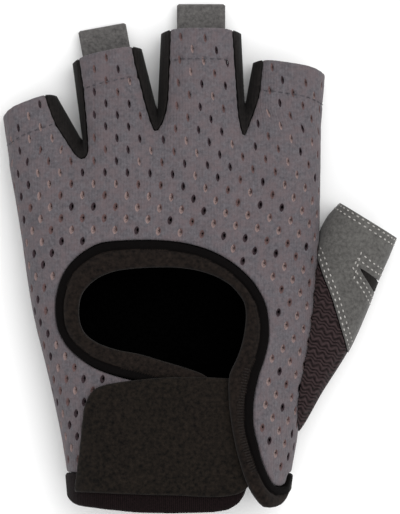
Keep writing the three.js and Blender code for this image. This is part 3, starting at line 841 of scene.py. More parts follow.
def cut_piece(piece: bpy.types.Object, tool: bpy.types.Object, operation: str) -> None:
    """Applies one boolean cut to a piece and removes the tool."""
    deselect()
    bpy.context.view_layer.objects.active = piece
    piece.select_set(True)
    step = piece.modifiers.new("cut", "BOOLEAN")
    step.object = tool
    step.operation = operation
    step.solver = "MANIFOLD"
    bpy.ops.object.modifier_apply(modifier=step.name)
    piece.select_set(False)
    bpy.data.objects.remove(tool)


def prism(near: Array, far: Array) -> bpy.types.Object:
    """A closed cutting block between two outlines, clockwise seen from the far one."""
    count = len(near)
    faces = [list(range(count))[::-1], list(range(count, 2 * count))]
    faces += [[i, (i + 1) % count, (i + 1) % count + count, i + count] for i in range(count)]
    mesh = bpy.data.meshes.new("prism")
    mesh.from_pydata((np.vstack([near, far]) * MM).tolist(), [], faces)
    return linked("prism", mesh)


def block(outline: Array, low: float, high: float) -> bpy.types.Object:
    """An upright cutting block over an outline, between two heights."""
    turn = outline if signed_area(outline) > 0 else outline[::-1]
    return prism(*(np.column_stack([turn, np.full(len(turn), z)]) for z in (low, high)))


def filled(points: Array, triangles: Array) -> Cloth:
    """Closes each open end of a surface with a flat fan."""
    ahead = dict(open_edges(triangles).tolist())
    corners, faces = list(points), triangles.tolist()
    while ahead:
        loop = [next(iter(ahead))]
        while loop[-1] in ahead:
            loop.append(ahead.pop(loop[-1]))
        corners.append(points[loop[1:]].mean(0))
        faces += [(b, a, len(corners) - 1) for a, b in zip(loop, loop[1:])]
    every = np.array(faces)
    return Cloth(np.array(corners), every, np.zeros(len(every), int), np.zeros((len(corners), 2)))


# ---------------------------------------------------------------- finishes


def linear(colour: str) -> tuple[float, float, float, float]:
    """An sRGB hex colour as the linear values that a shader takes."""
    channels = [int(colour[i : i + 2], 16) / 255 for i in (0, 2, 4)]
    turned = [c / 12.92 if c <= 0.04045 else ((c + 0.055) / 1.055) ** 2.4 for c in channels]
    return (*turned, 1.0)


class Nodes:
    """A node material in the making."""

    def __init__(self, name: str) -> None:
        """Starts with no nodes."""
        self.made = bpy.data.materials.new(name)
        self.made.use_nodes = True
        self.tree = self.made.node_tree
        self.tree.nodes.clear()

    def add(
        self, kind: str, inputs: dict | None = None, **settings: str
    ) -> bpy.types.bpy_prop_collection:
        """Adds a node with its settings and links.

        Args:
            kind: the node's type without its first word, ShaderNode.
            inputs: values or sockets to link from, by input name or number.
            settings: the node's own properties.

        Returns:
            The node's outputs.
        """
        new = self.tree.nodes.new(f"ShaderNode{kind}")
        for name, value in settings.items():
            setattr(new, name, value)
        for name, value in (inputs or {}).items():
            if isinstance(value, bpy.types.NodeSocket):
                self.tree.links.new(value, new.inputs[name])
            else:
                new.inputs[name].default_value = value
        return new.outputs

    def noise(
        self, grain: float, times: float, detail: float, roughness: float
    ) -> bpy.types.NodeSocket:
        """Noise fixed to the object, its patches some times as large as a grain."""
        place, scale = self.add("TexCoord")["Object"], 1 / (grain * MM * times)
        inputs = {"Vector": place, "Scale": scale, "Detail": detail, "Roughness": roughness}
        return self.add("TexNoise", inputs)["Fac"]

    def added(
        self, value: bpy.types.NodeSocket, share: float, base: bpy.types.NodeSocket
    ) -> bpy.types.NodeSocket:
        """A share of one value on top of another."""
        return self.add("Math", {0: value, 1: share, 2: base}, operation="MULTIPLY_ADD")[0]

    def ranged(self, value: bpy.types.NodeSocket, **ends: float) -> bpy.types.NodeSocket:
        """A value brought from one range to another, such as From_Min to From_Max."""
        named = {name.replace("_", " "): end for name, end in ends.items()}
        return self.add("MapRange", {"Value": value, **named})["Result"]

    def mixed(self, share: bpy.types.NodeSocket, a: object, b: object) -> bpy.types.NodeSocket:
        """A colour between two others."""
        return self.add("Mix", {"Factor": share, "A": a, "B": b}, data_type="RGBA")["Result"]


class Weave(Enum):
    """How a cloth's surface was made."""

    KNIT = "knit"
    NAP = "nap"
    BRUSHED = "brushed"
    RIB = "rib"
    THREAD = "thread"


@dataclass(frozen=True)
class ClothFinish:
    """A cloth's finish. Sizes are in millimetres and colours are sRGB hex values.

    grain is the size of its fibres, relief their height and mottle the strength of its patches.
    pitch, rows and wander are the distance, the strength and the waviness of a knit's rows. On the
    ribbed stretch the rows lie along raised ribs, so their tone is painted shade in the valleys.
    blush is a second hue in soft patches, as uneven dye leaves them.
    """

    ROW_RELIEF: ClassVar[float] = 0.6  # height of the rows, as a share of the fibres'
    WAVE_SCALE: ClassVar[float] = 3.14  # scale that puts the rows 1 mm apart on centimetre places
    CONTRAST: ClassVar[tuple[float, float]] = (0.38, 0.62)
    ROUGHNESS_SPREAD: ClassVar[float] = 0.08
    # Size of each noise's patches in grains, its detail and its roughness.
    FIBRE: ClassVar[tuple[float, float, float]] = (2, 4.0, 0.65)
    PATCHES: ClassVar[tuple[float, float, float]] = (30, 3.0, 0.6)
    CLOUD: ClassVar[tuple[float, float, float]] = (9, 4.0, 0.75)

    name: str
    light: str
    dark: str
    weave: Weave
    grain: float
    relief: float
    roughness: float = 0.9
    sheen: float = 0.0
    sheen_tint: str = "ffffff"
    mottle: float = 0.15
    pitch: float = 0.9
    rows: float = 0.1
    wander: float = 1.6
    specular: float = 0.25
    blush: str | None = None

    def material(self) -> bpy.types.Material:
        """The node material, made when it is first asked for."""
        return bpy.data.materials.get(self.name) or self._made()

    def _made(self) -> bpy.types.Material:
        """Makes the node material."""
        nodes = Nodes(self.name)
        fibre = nodes.noise(self.grain, *self.FIBRE)
        patches = nodes.noise(self.grain, *self.PATCHES)
        blend, height = nodes.added(patches, self.mottle, fibre), fibre
        if self.weave in (Weave.KNIT, Weave.RIB):
            rows = self._courses(nodes)
            height = nodes.added(rows, self.ROW_RELIEF, fibre)
            # On the ribbed stretch these rows follow the raised ribs: painted shade in the valleys.
            blend = nodes.added(rows, self.rows, blend)
        least, most = self.CONTRAST
        spread = nodes.ranged(blend, From_Min=least, From_Max=most + self.mottle + self.rows)
        colour = nodes.mixed(spread, linear(self.dark), linear(self.light))
        if self.blush:
            cloud = nodes.noise(self.grain, *self.CLOUD)
            share = nodes.ranged(cloud, From_Min=0.4, From_Max=0.64, To_Max=0.6)
            colour = nodes.mixed(share, colour, linear(self.blush))
        relief = {"Height": height, "Strength": 0.7, "Distance": self.relief * MM}
        least = self.roughness - self.ROUGHNESS_SPREAD
        most = min(1.0, self.roughness + self.ROUGHNESS_SPREAD)
        inputs = {
            "Base Color": colour,
            "Roughness": nodes.ranged(fibre, To_Min=least, To_Max=most),
            "Normal": nodes.add("Bump", relief)["Normal"],
            "Specular IOR Level": self.specular,
            "Sheen Weight": self.sheen,
            "Sheen Roughness": 0.5,
            "Sheen Tint": linear(self.sheen_tint),
        }
        nodes.add("OutputMaterial", {"Surface": nodes.add("BsdfPrincipled", inputs)["BSDF"]})
        return nodes.made

    def _courses(self, nodes: Nodes) -> bpy.types.NodeSocket:
        """The rows of a knit or rib, one pitch apart on the flat cloth."""
        inputs = {
            "Vector": nodes.add("TexCoord")["UV"],
            "Scale": self.WAVE_SCALE / self.pitch,
            "Distortion": self.wander,
            "Detail": 2.0,
            "Detail Scale": 3.0,
            "Phase Offset": math.pi / 2,
        }
        return nodes.add("TexWave", inputs, wave_type="BANDS", bands_direction="X")["Fac"]


# Polyester warp knit, perforated on the machine: matt, a little speckled, with rounded holes.
PERFORATED_KNIT = ClothFinish(
    "polyester_knit_perforated", "5d595d", "3f3c40", Weave.KNIT, 0.5, 0.16, 0.88, 0.06,
    pitch=0.9, rows=0.05, blush="5d5052",
)
# Painted highlight: a warmer, lighter tone than the face of the knit, on the lower left wall of a
# shut perforation, the wall that faces the light.
EYELET_PAINTED_HIGHLIGHT = ClothFinish(
    "polyester_knit_lip_painted_highlight", "877572", "695856", Weave.NAP, 0.3, 0.05, 0.9
)
# Painted shade: a darker brown on the walls of shut perforations that face away from the light, and
# on every wall of a half shut one.
EYELET_WALL_PAINTED_SHADE = ClothFinish(
    "polyester_knit_cut_edge_painted_shade", "665150", "433231", Weave.NAP, 0.3, 0.05, 0.95
)
# Painted shade: the near black wall inside an open perforation, which the light does not reach;
# more are open where the cloth is drawn tight over the fingers.
EYELET_SHADE = ClothFinish(
    "polyester_knit_cut_shaded", "43363a", "1f191c", Weave.NAP, 0.3, 0.05, 0.95, specular=0.1
)
# The laminated inner face of the padded cloths.
BLACK_BACKING = ClothFinish(
    "tricot_laminated_black", "040404", "010101", Weave.NAP, 0.5, 0.05, 0.95, specular=0.0
)
# Microfibre suede, sanded: a short nap that lies in darker and lighter patches.
SUEDE = ClothFinish(
    "microfibre_suede_sanded", "63625f", "312f2e", Weave.NAP, 0.5, 0.14, 0.95, 0.1, mottle=0.3
)
# The same suede, folded into the pull tabs: cleaner, and with fainter patches.
TAB_SUEDE = ClothFinish(
    "microfibre_suede_folded", "6a6866", "3b3939", Weave.NAP, 0.5, 0.12, 0.95, 0.1, mottle=0.2
)
# Four-way stretch knit: flat and black. The real cloth is a little lighter where it is drawn tight;
# this finish does not follow the stretch.
BLACK_STRETCH = ClothFinish(
    "elastane_stretch_knit", "1e1b1a", "080707", Weave.KNIT, 0.5, 0.08, 0.85, 0.02, pitch=0.8,
    specular=0.1,
)
# Brushed binding tape over foam: soft charcoal fuzz.
BRUSHED_TAPE = ClothFinish(
    "nylon_tape_brushed", "241d19", "030202", Weave.BRUSHED, 0.6, 0.16, 0.95, 0.04, mottle=0.2,
    specular=0.08,
)
# The tape's turned-in rim is flat, and blacker than its brushed face.
TAPE_RIM = ClothFinish(
    "nylon_tape_pressed", "090707", "030202", Weave.BRUSHED, 0.4, 0.08, 0.85, mottle=0.2,
    specular=0.05,
)
# Loop laminate that the hook tab closes on.
LOOP_STRAP = ClothFinish(
    "nylon_loop_brushed", "231d18", "020202", Weave.BRUSHED, 0.6, 0.16, 0.95, 0.04, mottle=0.2,
    specular=0.08,
)
# Polyester hem woven in ribs along the wrist.
RIB_TAPE = ClothFinish(
    "polyester_rib_hem", "1a1112", "030202", Weave.RIB, 0.35, 0.25, 0.9, 0.03, pitch=0.62,
    rows=0.35, wander=0.6, specular=0.05,
)
# Ribbed stretch insert, drawn into waves by its elastic. Its rows lie along the raised ribs, so
# their tone is painted shade in the valleys and lighter on the ridges.
RIBBED_STRETCH_PAINTED_VALLEY_SHADE = ClothFinish(
    "elastane_rib_gathered_painted_valley_shade", "382c2d", "040202", Weave.RIB, 0.4, 0.12, 0.8, 0.03, mottle=0.1,
    pitch=1.5, rows=0.7, wander=0.7, specular=0.08,
)
# Twisted polyester thread: light on the thumb, in the knit's own tone at the finger hems.
GREY_THREAD = ClothFinish(
    "polyester_thread_twisted", "b7b4b0", "827f7c", Weave.THREAD, 0.3, 0.04, 0.6
)
TONAL_THREAD = ClothFinish(
    "polyester_thread_tonal", "524f54", "2f2d31", Weave.THREAD, 0.3, 0.04, 0.7
)
# Black thread that overlocks the tape.
BLACK_THREAD = ClothFinish(
    "polyester_thread_black", "26211e", "0d0a09", Weave.THREAD, 0.3, 0.04, 0.8, specular=0.1
)


# ---------------------------------------------------------------- the pieces on the hand

PAST_SIDES = 90.0  # millimetres past every edge of the glove
PAST_WRIST = -100.0
PAST_HAND = 60.0
INNER_ROUND = 0.6  # how far the inner face follows a rounded edge


@dataclass
class HandPieces:
    """The hand's skin, its two flat sides and the lines that its cloth pieces share."""

    lift_from: tuple[float, float] = (-0.02, -0.1)
    lift_full: tuple[float, float] = (0.06, -0.205)
    lift_fade: float = 0.185
    flap_fade: float = 10.0
    slit: float = 0.075
    seam_step: float = 0.8
    hem_distance: float = 9.6
    skin: HandSkin = field(default_factory=HandSkin)

    def __post_init__(self) -> None:
        """Unrolls the hand and reads the shared lines."""
        self.back = FlatSide(self.skin, Face.BACK)
        self.palm = FlatSide(self.skin, Face.PALM)
        self.band_edge = BAND_TOP * HAND.length
        self.strap_low = CLOTH.tape_proud + HAND.seam_gap
        self.strap_high = self.strap_low + CLOTH.strap
        self.flap_lift = self.strap_high + HAND.seam_gap + CLOTH.tape - CLOTH.tape_proud
        self.strip_seams = [
            smooth_line(plan(line), self.seam_step) for line in STRIP_LINES.values()
        ]
        self.strips = [self.back.from_plan(seam) for seam in self.strip_seams]
        self.tape = self._tape_edges(self.seam_step)

    def _tape_edges(self, step: float) -> tuple[Array, Array]:
        """The inner and the outer edge of the tape, flat, read in pairs along it."""
        inner = self.back.from_plan(plan(TAPE_INNER))
        outer = self.back.from_plan(plan(TAPE_OUTER[::-1]))
        seam = self.back.side_seam(HAND.seam_height + HAND.seam_gap, True)
        for line in (inner, outer):
            line[-1, 0] = np.interp(line[-1, 1], seam[:, 1], seam[:, 0])
        run = run_along((inner + outer) / 2)
        start = np.interp(self.band_edge + HAND.seam_gap, inner[:3, 1], run[:3])
        at = np.linspace(start, run[-1], round((run[-1] - start) / step))
        both = follow(np.column_stack([run, inner, outer]), at)
        return self._paired(even_line(both[:, :2], step / 4), even_line(both[:, 2:], step))

    @staticmethod
    def _paired(inner: Array, outer: Array, eased: int = 9) -> tuple[Array, Array]:
        """Pairs each place of the outer edge with the place of the inner one across from it.

        Args:
            inner: finely stepped inner edge.
            outer: outer edge.
            eased: number of neighbouring pairs that are averaged.

        Returns:
            Both edges, with as many places each.
        """
        last = len(inner) - 1
        across = number_of_nearest(inner, outer).astype(float)
        across[0], across[-1] = 0, last
        padded = np.pad(np.maximum.accumulate(across), eased // 2, mode="edge")
        even = np.convolve(padded, np.ones(eased) / eased, mode="valid")
        even[0], even[-1] = 0, last
        return read_at(inner, np.arange(last + 1), even), outer

    def lift(self, points: Array) -> Array:
        """How far the right flap is lifted by the strap below it."""
        x, y, z = points.T
        width, length = HAND.width, HAND.length
        beside = smoothstep(x, self.lift_from[0] * width, self.lift_full[0] * width)
        down = 1 - smoothstep(y, self.lift_full[1] * length, self.lift_from[1] * length)
        start = self.lift_fade * width
        faded = 1 - smoothstep(x, start, start + self.flap_fade)
        riding = (z > HAND.seam_height) & (x > self.slit * width)
        return np.where(riding, self.flap_lift * beside * down * faded, 0)

    def lifted(self, points: Array) -> Array:
        """Points of the hand with the right flap lifted."""
        return points + np.outer(self.lift(points), (0, 0, 1))

    def hem_lines(self) -> list[Array]:
        """The flat lines of the stitches below the four finger hems."""
        return [
            even_line(flats[-1], 0.5) - self.skin.heading(finger)[:2] * self.hem_distance
            for finger, flats in enumerate(self.back.flats)
        ]

    def proud(self, points: Array) -> Array:
        """How far tape and hem stand out, which is nothing where the glove rests."""
        return CLOTH.tape_proud * smoothstep(points[:, 2], 0, HAND.rest_rise)


@dataclass
class Eyelets:
    """Lens-shaped perforations in leaning, staggered columns.

    Their columns lean and fan out across the hand. The cloth is drawn tight over the fingers, where
    they are narrower and tilt the other way. Most are drawn shut towards the inside of the cloth.
    """

    SCATTER: ClassVar[tuple[float, float]] = (12.9898, 78.233)  # gives each place its own chance
    SCATTER_SCALE: ClassVar[float] = 43758.5453
    # LIT points to the side of a shut perforation whose wall gets the painted highlight.
    LIT: ClassVar[tuple[float, float]] = (-0.94, -0.34)  # the way to the side of a lip that shows
    LIT_FROM: ClassVar[float] = -0.2

    breadth: float = 1.55
    height: float = 2.7
    pitch: float = 6.6
    row_pitch: float = 3.55
    columns: int = 14
    rows: int = 30
    lean: float = 0.08
    fan: float = 0.0023
    tilt: float = 0.15
    drawn_breadth: float = 0.95
    drawn_tilt: float = -0.14
    drawn_over: float = 8.0
    pointed: float = 1.3
    margin: float = 2.1
    corners: int = 12
    rim: float = 0.25
    rim_reach: float = 0.4
    closing_reach: float = 0.35
    closing_end: float = 1.0
    closed_to: float = 0.1
    open_to: float = 0.34
    shift: tuple[float, float] = (0.3, 0.2)
    bottom: float = 0.85
    fingers_from: float = 22.0
    left_until: float = -36.0
    # Shares that are shut, whose lower left wall gets the painted highlight: on the hand, over the
    # fingers, at the left.
    shut: float = 0.52
    shut_on_fingers: float = 0.22
    shut_at_left: float = 0.35

    def centres(self, keep: Callable[[Array], Array], lines: Sequence[Array]) -> Array:
        """Places of the eyelets that are clear of every seam.

        Args:
            keep: tells which flat places are on the cloth.
            lines: the seams.

        Returns:
            Their flat places.
        """
        i, j = np.meshgrid(
            np.arange(-self.columns, self.columns + 1), np.arange(-self.rows, self.rows + 1)
        )
        a = ((i + (j % 2) / 2) * self.pitch).ravel()
        b = (j * self.row_pitch).ravel()
        x = a + (self.lean + self.fan * a) * b
        y = b - self.lean * a - self.fan * a * a / 2
        spots = np.column_stack([x, y])
        spots = spots[keep(spots)]
        return spots[Nearness(lines)(spots) > self.margin]

    def outline(self, centre: Array) -> Array:
        """One eyelet's outline."""
        turn = np.linspace(0, 2 * math.pi, self.corners, endpoint=False)
        start = self.fingers_from
        drawn = smoothstep(centre[1], start - self.drawn_over, start + self.drawn_over)
        breadth = lerp(self.breadth, self.drawn_breadth, drawn)
        tilt = lerp(self.tilt, self.drawn_tilt, drawn)
        across = np.sign(np.cos(turn)) * np.abs(np.cos(turn)) ** self.pointed * breadth / 2
        up = np.sin(turn) * self.height / 2
        return centre + np.column_stack([across + tilt * up, up - tilt * across])

    def narrowed(self, centres: Array, flat: Array, distance: Array) -> tuple[Array, Array]:
        """Draws each eyelet together towards the inner face of the cloth.

        Args:
            centres: the eyelets.
            flat: flat places of the cloth's points.
            distance: their distance to the nearest eyelet.

        Returns:
            The flat places of the inner face, and how much each point belongs to a rim.
        """
        centre = centres[number_of_nearest(centres, flat)]
        closing = np.where(distance < self.closing_end, hump(distance, self.closing_reach), 0)
        size = np.array([self.closed_to, self.closed_to * 2, self.open_to])[self._state(centre)]
        goal = centre + np.array(self.shift) + (flat - centre) * size[:, None]
        return lerp(flat, goal, closing[:, None]), closing

    def _state(self, centre: Array) -> Array:
        """How far each eyelet is drawn open: 0 sunk shut, 1 half shut, 2 open.

        Most are shut on the hand, and few where the cloth is drawn tight over the fingers.
        """
        mixed = np.sin(np.round(centre, 2) @ np.array(self.SCATTER)) * self.SCATTER_SCALE
        chance = np.modf(np.abs(mixed))[0]
        shut = np.where(centre[:, 1] > self.fingers_from, self.shut_on_fingers, self.shut)
        shut = np.where(centre[:, 0] < self.left_until, self.shut_at_left, shut)
        return (chance > shut).astype(int) + (chance > (1 + shut) / 2)

    def wall_slots(self, centres: Array, middles: Array) -> Array:
        """Finish of each wall: painted highlight at the lower left where shut, brown painted shade
        elsewhere and half shut, dark painted shade open.
        """
        centre = centres[number_of_nearest(centres, middles)]
        painted_highlight_wall = (middles - centre) @ np.array(self.LIT) > self.LIT_FROM
        state = self._state(centre)
        return np.where(state == 0, np.where(painted_highlight_wall, 2, 3), 2 + state)

    def inside(self, centres: Array, points: Array) -> Array:
        """Which points are in an eyelet."""
        found = np.zeros(len(points), bool)
        for centre in centres:
            near = np.flatnonzero(np.abs(points - centre).max(1) < self.height)
            found[near] |= inside(self.outline(centre), points[near])
        return found


@dataclass
class BackPanel:
    """The perforated back, with its eyelets cut through."""

    hand: HandPieces
    eyelets: Eyelets = field(default_factory=Eyelets)
    spacing: float = 1.35
    edge_radius: float = 0.7
    hem_groove: float = 0.4
    groove_reach: float = 0.45
    seam_walls: float = 0.2

    def _outlines(self) -> list[Array]:
        """The panel's outline and what is cut away from it: strips, opening and hem."""
        hand = self.hand
        slit, top = hand.slit * HAND.width, hand.band_edge
        corners = [(-PAST_SIDES, PAST_WRIST), (slit, PAST_WRIST), (slit, top), (-PAST_SIDES, top)]
        edge = hand.tape[1]
        past = [(PAST_HAND, edge[-1, 1]), (PAST_HAND, PAST_WRIST), (edge[0, 0], PAST_WRIST)]
        cutout = grown(np.vstack([edge, past]), HAND.seam_gap)
        return [hand.back.domain(HAND.seam_height), *hand.strips, cutout, np.array(corners)]

    def build(self) -> bpy.types.Object:
        """Cuts, shapes and dresses the panel."""
        hand, side, eyelets = self.hand, self.hand.back, self.eyelets
        outlines = self._outlines()
        on_cloth = within(outlines[0], outlines[1:])
        seams = [closed(loop) for loop in outlines]
        centres = eyelets.centres(on_cloth, seams)
        holes = [eyelets.outline(centre) for centre in centres]

        def keep(points: Array) -> Array:
            """Which flat places are cloth."""
            return on_cloth(points) & ~eyelets.inside(centres, points)

        flat, triangles = Pattern(outlines, keep, self.spacing, holes=holes).cut()
        to_seam = Nearness(seams)
        to_eyelet = Nearness([closed(hole) for hole in holes])(flat)
        edge = round_edge(to_seam(flat), self.edge_radius)
        rim = eyelets.rim * hump(to_eyelet, eyelets.rim_reach)
        hem = self.hem_groove * hump(Nearness(hand.hem_lines())(flat), self.groove_reach)
        points, normals = side.on_hand(flat)
        outer = hand.lifted(points) - normals * (edge + rim + hem)[:, None]
        flat_inner, closing = eyelets.narrowed(centres, flat, to_eyelet)
        points, normals = side.on_hand(flat_inner)
        depth = CLOTH.back - edge * INNER_ROUND - closing * eyelets.bottom
        inner = hand.lifted(points) - normals * depth[:, None]
        cloth = Cloth.wall(outer, inner, triangles, flat, (0, 1, 2))
        walls = np.flatnonzero(cloth.slots == 2)
        middle = cloth.flat[cloth.triangles[walls]].mean(1)
        at_seam = to_seam(middle) < self.seam_walls
        cloth.slots[walls[at_seam]] = 0
        cloth.slots[walls[~at_seam]] = eyelets.wall_slots(centres, middle[~at_seam])
        LOG.info("eyelets %d, back triangles %d", len(centres), len(cloth.triangles))
        finishes = (PERFORATED_KNIT, BLACK_BACKING, EYELET_PAINTED_HIGHLIGHT, EYELET_WALL_PAINTED_SHADE, EYELET_SHADE)
        return cloth.make("perforated_back", *finishes)


@dataclass
class PalmPanel:
    """The suede palm with the undersides of the fingers."""

    hand: HandPieces
    spacing: float = 1.8
    edge_radius: float = 0.7

    def build(self) -> bpy.types.Object:
        """Cuts, shapes and dresses the palm."""
        hand, side = self.hand, self.hand.palm
        away = [
            side.from_plan(grown(seam, HAND.strip_palm_spread)) for seam in hand.strip_seams
        ]
        low, high = PAST_WRIST, hand.band_edge
        left, right = -PAST_SIDES, PAST_SIDES
        away.append(np.array([(left, low), (right, low), (right, high), (left, high)]))
        outlines = [side.domain(HAND.seam_height - HAND.sewn_gap), *away]
        flat, triangles = Pattern(outlines, within(outlines[0], away), self.spacing).cut()
        points, normals = side.on_hand(flat)
        seams = [closed(loop) for loop in outlines]
        edge = round_edge(Nearness(seams)(flat), self.edge_radius)
        resting = smoothstep(points[:, 2], 0, HAND.rest_rise)
        outer = points - normals * (edge * resting)[:, None]
        inner = points - normals * (CLOTH.palm - edge * INNER_ROUND)[:, None]
        cloth = Cloth.wall(outer, inner, triangles[:, ::-1], flat)
        return cloth.make("suede_palm", SUEDE, BLACK_BACKING)


@dataclass
class OpeningTape:
    """The padded binding round the opening: a narrow dark rim, a groove and a soft pad."""

    hand: HandPieces
    columns: int = 18
    rim: float = 2.7
    groove: float = 0.6
    groove_depth: float = 0.75
    pad_crown: float = 0.45
    edge_radius: float = 0.9
    evenness: float = 0.6  # from 0, columns crowded at both edges, to 1, evenly spread
    raised_on: tuple[float, float] = (0.3, 0.7)  # the pad rises as the hand turns face up
    inner_round: float = 0.5

    def height(self, from_outer: Array, width: Array) -> Array:
        """Height of the tape above its even thickness, at a distance from its outer edge."""
        at_groove = hump(from_outer - self.rim, self.groove / 2)
        pad = np.clip((from_outer - self.rim) / np.maximum(width - self.rim, 0.1), 0, 1)
        crown = self.pad_crown * np.sin(pad * math.pi)
        nearest = np.minimum(from_outer, width - from_outer)
        return crown - self.groove_depth * at_groove - round_edge(nearest, self.edge_radius)

    def build(self) -> bpy.types.Object:
        """Shapes and dresses the tape."""
        inner_line, outer_line = self.hand.tape
        width = np.linalg.norm(outer_line - inner_line, axis=1)
        even = np.linspace(0, 1, self.columns + 1)
        share = lerp((1 - np.cos(even * math.pi)) / 2, even, self.evenness)
        flat = lerp(inner_line[:, None], outer_line[:, None], share[None, :, None])
        from_outer = (1 - share)[None, :] * width[:, None]
        height = self.height(from_outer, np.broadcast_to(width[:, None], from_outer.shape))
        flat, height = flat.reshape(-1, 2), height.ravel()
        points, normals = self.hand.back.on_hand(flat)
        points = self.hand.lifted(points)
        nearest = np.minimum(from_outer, width[:, None] - from_outer).ravel()
        edge = round_edge(nearest, self.edge_radius)
        height = lerp(-edge, height, smoothstep(normals[:, 2], *self.raised_on))
        outer = points + normals * (CLOTH.tape_proud + height)[:, None]
        low = CLOTH.tape_proud - CLOTH.tape + self.inner_round * edge
        inner = points + normals * low[:, None]
        triangles = grid_triangles(np.arange(len(flat)).reshape(from_outer.shape), turned=True)
        if turns(flat, triangles).sum() < 0:
            triangles = triangles[:, ::-1]
        run = np.arange(len(width))[:, None] * self.hand.seam_step
        uv = np.column_stack([np.broadcast_to(run, from_outer.shape).ravel(), from_outer.ravel()])
        cloth = Cloth.wall(outer, inner, triangles, uv)
        at_rim = cloth.flat[cloth.triangles].mean(1)[:, 1] < self.rim
        cloth.slots[at_rim & (cloth.slots == 0)] = 2
        return cloth.make("binding_tape", BRUSHED_TAPE, BLACK_BACKING, TAPE_RIM)


@dataclass
class Strap:
    """The closure strap under the right flap."""

    hand: HandPieces
    spacing: float = 1.5
    edge_radius: float = 1.1
    inner_round: float = 0.3

    def build(self) -> bpy.types.Object:
        """Cuts, shapes and dresses the strap."""
        side = self.hand.back
        outline = side.from_plan(smooth_line(closed(plan(STRAP_OUTLINE)), 1.2)[:-1])
        flat, triangles = Pattern([outline], within(outline, []), self.spacing).cut()
        points, normals = side.on_hand(flat)
        edge = round_edge(Nearness([closed(outline)])(flat), self.edge_radius)
        outer = points + normals * (self.hand.strap_high - edge)[:, None]
        inner = points + normals * (self.hand.strap_low + edge * self.inner_round)[:, None]
        cloth = Cloth.wall(outer, inner, triangles, flat)
        return cloth.make("closing_strap", LOOP_STRAP, BLACK_BACKING)


@dataclass
class WristBand:
    """The ribbed hem round the wrist."""

    hand: HandPieces
    spacing: float = 1.3
    edge_radius: float = 1.1
    inner_round: float = 0.4

    def build(self) -> bpy.types.Object:
        """Cuts, shapes and dresses the hem's back and palm sides."""
        back = self._part(self.hand.back, BAND_OUTLINE, HAND.seam_height)
        top, low = BAND_TOP - HAND.seam_gap / HAND.length, BAND_LOWEST
        strip = [(-0.9, top), (-0.9, low), (0.9, low), (0.9, top)]
        palm = self._part(self.hand.palm, strip, HAND.seam_height)
        return Cloth.merged([back, palm]).make("wrist_hem", RIB_TAPE, BLACK_BACKING)

    def _part(self, side: FlatSide, line: Sequence[tuple[float, float]], height: float) -> Cloth:
        """Cuts one side's part of the hem."""
        domain = side.domain(height)
        outline = plan(line)
        if side.face is Face.BACK:
            outline = side.from_plan(even_line(closed(outline), 1.0)[:-1])

        def keep(points: Array) -> Array:
            """Which flat places are on the hem."""
            return inside(outline, points) & inside(domain, points)

        flat, triangles = Pattern([domain, outline], keep, self.spacing).cut()
        points, normals = side.on_hand(flat)
        edge = round_edge(Nearness([closed(outline)])(flat), self.edge_radius)
        proud = self.hand.proud(points)
        resting = smoothstep(points[:, 2], 0, HAND.rest_rise)
        outer = points + normals * (proud - edge * resting)[:, None]
        inner = points + normals * (proud - CLOTH.band + edge * self.inner_round)[:, None]
        turned = triangles if side.face is Face.BACK else triangles[:, ::-1]
        return Cloth.wall(outer, inner, turned, flat)


@dataclass
class SideStrips:
    """The black stretch strips between the fingers."""

    hand: HandPieces
    sink: float = 0.12
    overlap: float = 1.0

    def build(self) -> list[bpy.types.Object]:
        """Cuts the three strips out of the hand's wall."""
        skin, gap = self.hand.skin, HAND.sewn_gap
        outer, inner = (skin.points - skin.normals * down for down in (self.sink, CLOTH.side))
        cloth = Cloth.wall(outer, inner, skin.triangles, skin.points[:, :2], (0, 0, 0))
        made = []
        for name, line in STRIP_LINES.items():
            piece = cloth.make(f"strip_{name}", BLACK_STRETCH)
            outline = smooth_line(plan(line), 1.0)
            upper = block(grown(outline, -gap), HAND.strip_turn - self.overlap, PAST_HAND)
            spread = grown(outline, HAND.strip_palm_spread - gap)
            cut_piece(upper, block(spread, -PAST_HAND, HAND.strip_turn - gap), "UNION")
            cut_piece(piece, upper, "INTERSECT")
            made.append(piece)
        return made


# ---------------------------------------------------------------- the thumb


@dataclass
class ThumbForm:
    """The skin of the thumb, read by place along it and turn round it."""

    def sections(self, at: Array) -> tuple[Array, Array, Array, Array]:
        """Middles, ways across, half breadths and half depths at places along the thumb."""
        values = follow(THUMB_SECTIONS, at)
        near, far = plan(values[:, :2]), plan(values[:, 2:4])
        middle, rise = values[:, 4:].T
        half = np.linalg.norm(far - near, axis=1) / 2
        across = (far - near) / (2 * half)[:, None]
        centre = np.column_stack([(near + far) / 2, middle * HAND.depth])
        return centre, np.column_stack([across, 0 * half]), half, rise * HAND.depth

    def grid(self, rows: int, steps: int) -> tuple[Array, Array, Array]:
        """The thumb's skin as a closed tube.

        Args:
            rows: steps along the thumb.
            steps: steps round it.

        Returns:
            Points, outward normals and triangles.
        """
        at = np.linspace(0, 1, rows + 1)
        centre, across, half, rise = self.sections(at)
        turn = np.arange(steps) / steps * 2 * math.pi
        power = 2 / HAND.thumb_squareness
        cos, sin = (np.sign(v) * np.abs(v) ** power for v in (np.cos(turn), np.sin(turn)))
        points = centre[:, None] - across[:, None] * half[:, None, None] * cos[None, :, None]
        points[:, :, 2] += rise[:, None] * sin[None, :]
        ids = np.arange((rows + 1) * steps).reshape(rows + 1, steps)
        ids = np.hstack([ids, ids[:, :1]])
        flat_points, triangles = points.reshape(-1, 3), grid_triangles(ids)
        return flat_points, vertex_normals(flat_points, triangles), triangles


